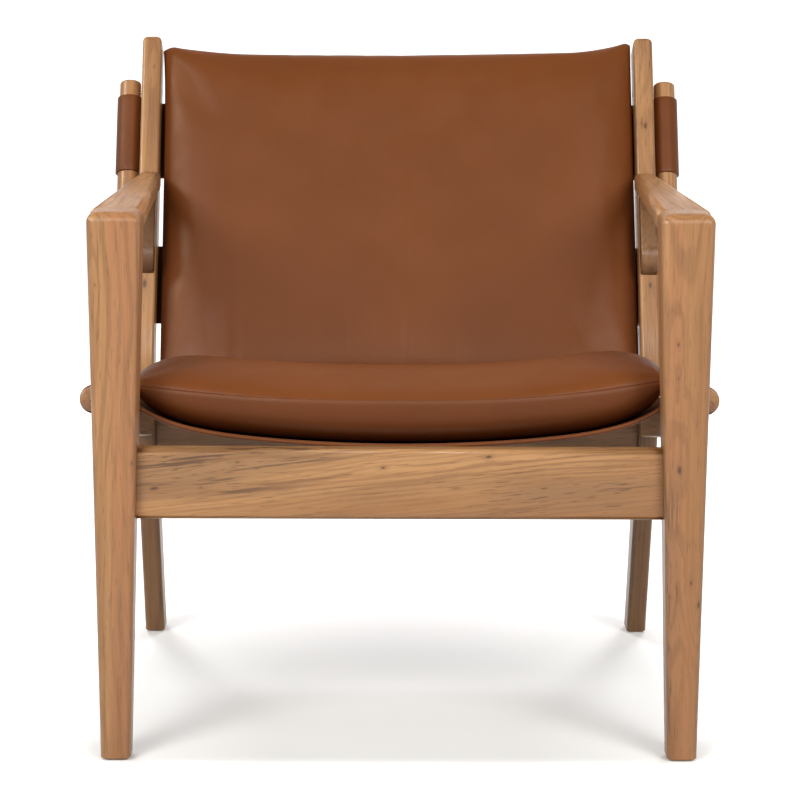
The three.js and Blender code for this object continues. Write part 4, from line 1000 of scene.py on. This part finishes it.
def seat_wrinkles(a, b):
    """Short folds that run from the front corners of the seam into the panel: waves of the place along the seam,
    which fade away from the corners and from the seam."""
    corner = np.clip((np.abs(a) - FOLDS_FROM) / FOLDS_SPAN, 0, 1) ** 2 * np.exp(-(((b + 1) / FOLDS_REACH) ** 2))
    waves = np.sin(SEAT_FOLD_WAVES[0] * a + SEAT_FOLD_WAVES[1] * b)
    return by_side(a, SEAT_FOLDS) * corner * waves * rim(a, FOLDS_RIM) * rim(b, FOLDS_RIM)


def seat_painted_shade(a, b):
    """Painted shade darkens the whole lower panel."""
    return 0 * a * b, SEAT_UNDER_PAINTED_SHADE + 0 * a * b


cover(
    "cushion_seat", seat_top, seat_under, SEAT_ALONG, seat_wrinkles, seat_painted_shade,
    body="seat_cushion", node="seat_cushion", reach=SEAT_REACH, topstitched=True,
)

BACK_FEET, BACK_HEADS = {-1: 0.3060, 1: 0.3122}, {-1: 0.3088, 1: 0.3108}
BACK_LOW, BACK_HIGH, BACK_SEAM, BACK_CROWN = -0.016, 0.462, 0.024, 0.030
BACK_POWER = 12
TOP_TILT, TOP_POWER, EAR_SPREADS, EAR_SPREAD_POWER = 0.0055, 3, {-1: 0.0034, 1: 0}, 12
EAR_RISE, EAR_START = {-1: 0.0105, 1: 0.0135}, {-1: 0.6, 1: 0.72}
EAR_PEAK, EAR_FALL = {-1: 0.95, 1: 0.975}, {-1: 0.006, 1: 0.0035}
BACK_FOLD_HEIGHT, BACK_FOLDS_SPAN = 0.0006, 0.7
BACK_FOLDS_TO, BACK_FOLDS_FADE = 0.9, 0.4
BACK_FOLD_WAVES = ((1.0, 57, 2.2, 0.6), (0.8, 83, -3.1, 2.0), (0.6, 109, 4.0, 0.0))
BACK_SIDE_PAINTED_SHADE = 0.65
SIDE_SHADE_FROM, SIDE_SHADE_SPAN, SIDE_SHADE_TOP, SIDE_SHADE_FADE = 0.94, 0.05, 0.35, 0.4
BACK_REACH = 0.004


def back_outline(a, b):
    """Place of the back cushion's outline: nearly straight sides, the right one a little further out, and a top
    that tilts up to the right and climbs as a square to an ear beside each corner before it falls to the corner
    itself."""
    out, start, peak = np.abs(a), by_side(a, EAR_START), by_side(a, EAR_PEAK)
    climb = np.clip((out - start) / (peak - start), 0, 1) ** 2 * by_side(a, EAR_RISE) + TOP_TILT * np.maximum(a, 0)
    fall = np.clip((out - peak) / (1 - peak), 0, 1) ** 2 * by_side(a, EAR_FALL)
    high = np.clip((b + 1) / 2, 0, 1)
    foot, head = by_side(a, BACK_FEET), by_side(a, BACK_HEADS)
    across = (foot + (head - foot) * high + by_side(a, EAR_SPREADS) * high**EAR_SPREAD_POWER) * a
    return across, BACK_LOW + (BACK_HIGH - BACK_LOW) * (b + 1) / 2 + (climb - fall) * high**TOP_POWER


def back_face(a, b):
    """The front panel stands off the seam by the crown."""
    across, along = back_outline(a, b)
    return on_back(across, -BACK_SEAM - BACK_CROWN * rim(a, BACK_POWER) * rim(b, BACK_POWER), along)


def back_rest(a, b):
    """The rear panel goes from the seam back to the sling that it leans on."""
    across, along = back_outline(a, b)
    bed = back_hang(across) - LEATHER / 2 - CUSHION_GAP
    return on_back(across, -BACK_SEAM + (BACK_SEAM + bed) * rim(a, BACK_POWER) * rim(b, BACK_POWER), along)


def back_wrinkles(a, b):
    """Soft upright folds above the seat: a sum of waves across, which wander with height, swell and shrink
    across the panel, and fade upwards and towards the sides."""
    low = np.clip(-b / BACK_FOLDS_SPAN, 0, 1) ** 2 * rim(b, BACK_POWER)
    fade = low * np.clip((BACK_FOLDS_TO - np.abs(a)) / BACK_FOLDS_FADE, 0, 1)
    waves = sum(height * np.sin(across * a + up * b + start) for height, across, up, start in BACK_FOLD_WAVES)
    return BACK_FOLD_HEIGHT * fade * waves * (0.6 + 0.4 * np.sin(7 * a + 1.3))


def back_painted_shade(a, b):
    """Painted shade darkens the sides of the lower half."""
    side = np.clip((np.abs(a) - SIDE_SHADE_FROM) / SIDE_SHADE_SPAN, 0, 1)
    side = side * np.clip((SIDE_SHADE_TOP - b) / SIDE_SHADE_FADE, 0, 1)
    return BACK_SIDE_PAINTED_SHADE * side, BACK_SIDE_PAINTED_SHADE * side


cover(
    "cushion_back", back_face, back_rest, BACK_UP, back_wrinkles, back_painted_shade,
    body="frame", node="back_cushion", reach=BACK_REACH, topstitched=False,
)

# Fixings: dowels hidden in the joints, screws that hold the poles from inside, and felt glides under the feet.
# They keep their solids and get their own finishes: pale turned wood, steel and dark felt.
DOWEL_PALE, DOWEL_TAN = (0.5, 0.33, 0.18, 1), (0.4, 0.25, 0.13, 1)
FELT_LIGHT, FELT_DARK = (0.06, 0.048, 0.038, 1), (0.025, 0.02, 0.016, 1)
STEEL_LIGHT, STEEL_DARK = (0.62, 0.62, 0.6, 1), (0.48, 0.48, 0.47, 1)
FINISHES = {
    "dowel": plain_finish("dowel_wood", DOWEL_PALE, DOWEL_TAN, scale=300, roughness=0.65),
    "glide": plain_finish("glide_felt", FELT_LIGHT, FELT_DARK, scale=900, roughness=0.95),
    "screw": plain_finish("screw_steel", STEEL_LIGHT, STEEL_DARK, scale=700, roughness=0.32, metallic=1.0),
}
for node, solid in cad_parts.items():
    for word, finish in FINISHES.items():
        if word in node:
            solid.data.materials.clear()
            solid.data.materials.append(finish)

# Studio: a white floor that glows, more away from the chair and not at all in a pool between its feet, so that
# the pool is a painted shadow, under a sky that is white behind the chair and dim before it. Soft boxes stand at
# the four corners, so each foot's soft shadow runs inwards, and one hangs above. A small warm one on the left
# shows only as a shine.
FLOOR_HALF = 60.0
FLOOR_WHITE, FLOOR_ROUGHNESS, FLOOR_SPECULAR = (0.9, 0.9, 0.9, 1), 0.9, 0.1
PURE_WHITE = (1, 1, 1, 1)
# The floor's glow is painted light: none in a painted shadow pool between the feet, and round it enough glow to
# wash out the feet's outward shadows.
POOL_GLOW, NEAR_GLOW, FAR_GLOW, GLOW_FROM, GLOW_TO = 0.0, 0.45, 0.6, 1.2, 7.0
POOL_SIDE, POOL_FRONT, POOL_BACK = (0.30, 0.42), (-0.41, -0.34), (-0.15, 0.75)
SKY_FRONT, SKY_BACK, SKY_BELOW, SKY_TOP = 0.3, 1.0, 0.5, 0.25
SKY_TURN, SKY_HORIZON, SKY_CLIMB = (-0.3, 0.8), (-0.02, 0.02), (0.3, 0.8)
floor_mesh = bpy.data.meshes.new("floor")
floor_x = FLOOR_HALF * np.array([-1, 1, 1, -1])
floor_y = FLOOR_HALF * np.array([-1, -1, 1, 1])
floor_mesh.from_pydata(np.column_stack([floor_x, floor_y, 0 * floor_x]), [], [(0, 1, 2, 3)])
floor = placed("floor", floor_mesh)
floor.visible_diffuse = False
paper, floor_tree, floor_shader = blank_material("white_paper")
floor_shader.inputs["Base Color"].default_value = FLOOR_WHITE
floor_shader.inputs["Roughness"].default_value = FLOOR_ROUGHNESS
floor_shader.inputs["Specular IOR Level"].default_value = FLOOR_SPECULAR
floor_shader.inputs["Emission Color"].default_value = PURE_WHITE
floor_place = grow(floor_tree, "ShaderNodeTexCoord", {}).outputs["Object"]
floor_reach = grow(floor_tree, "ShaderNodeVectorMath", {0: floor_place}, operation="LENGTH").outputs["Value"]
floor_axes = grow(floor_tree, "ShaderNodeSeparateXYZ", {0: floor_place}).outputs
floor_side = grow(floor_tree, "ShaderNodeMath", {0: floor_axes["X"]}, operation="ABSOLUTE").outputs[0]
pool_side = between(floor_tree, floor_side, *POOL_SIDE, 1.0, 0.0)
pool_front = between(floor_tree, floor_axes["Y"], *POOL_FRONT)
pool_back = between(floor_tree, floor_axes["Y"], *POOL_BACK, 1.0, 0.0)
painted_shadow_pool = times(floor_tree, times(floor_tree, pool_front, pool_back), pool_side)
near_glow = between(floor_tree, painted_shadow_pool, 0.0, 1.0, NEAR_GLOW, POOL_GLOW)
far_glow = between(floor_tree, floor_reach, GLOW_FROM, GLOW_TO, 0.0, FAR_GLOW)
floor_tree.links.new(plus(floor_tree, near_glow, 1.0, far_glow), floor_shader.inputs["Emission Strength"])
floor_mesh.materials.append(paper)
scene.world = bpy.data.worlds.new("sky")
scene.world.use_nodes = True
sky_tree = scene.world.node_tree
sky_inputs = sky_tree.nodes["Background"].inputs
sky_inputs["Color"].default_value = PURE_WHITE
sky_way = grow(sky_tree, "ShaderNodeTexCoord", {}).outputs["Generated"]
sky_axes = grow(sky_tree, "ShaderNodeSeparateXYZ", {0: sky_way}).outputs
sky_around = between(sky_tree, sky_axes["Y"], *SKY_TURN, SKY_FRONT, SKY_BACK)
sky_below = between(sky_tree, sky_axes["Z"], *SKY_HORIZON, SKY_BELOW, 1.0)
sky_over = between(sky_tree, sky_axes["Z"], *SKY_CLIMB, 1.0, SKY_TOP)
sky_strength = times(sky_tree, sky_around, times(sky_tree, sky_below, sky_over))
sky_tree.links.new(sky_strength, sky_inputs["Strength"])
scene.view_settings.view_transform = "Standard"
LIGHT_AIM = np.array([0, 0, 0.4])
PLAIN_TINT, FRONT_TINT, SHINE_TINT = (1, 1, 1), (1, 0.985, 0.94), (1, 0.8, 0.6)
SHINING = ("front_left_box", "front_right_box", "shine_box")
SOFT_BOXES = {
    "front_left_box": ((-1.6, -2.8, 2.2), 1.5, 90, FRONT_TINT),
    "front_right_box": ((1.6, -2.8, 2.2), 1.5, 79, FRONT_TINT),
    "rear_left_box": ((-1.3, 2.7, 2.6), 0.9, 46, PLAIN_TINT),
    "rear_right_box": ((1.3, 2.7, 2.6), 0.9, 46, PLAIN_TINT),
    "top_box": ((0, 0.2, 3.2), 1.8, 8, PLAIN_TINT),
    "shine_box": ((-2.6, -0.5, 2.3), 0.7, 52, SHINE_TINT),
}
for name, (place, size, power, tint) in SOFT_BOXES.items():
    light = bpy.data.lights.new(name, "AREA")
    light.shape = "SQUARE"
    light.size = size
    light.energy = power
    light.color = tint
    box = placed(name, light)
    box.visible_glossy = name in SHINING
    box.visible_diffuse = name != "shine_box"
    back = np.array(place) - LIGHT_AIM
    back = back / np.linalg.norm(back)
    right = np.cross((0, 1, 0), back)
    right = right / np.linalg.norm(right)
    turn = Matrix(np.column_stack([right, np.cross(back, right), back]).tolist())
    box.matrix_world = Matrix.Translation(place) @ turn.to_4x4()
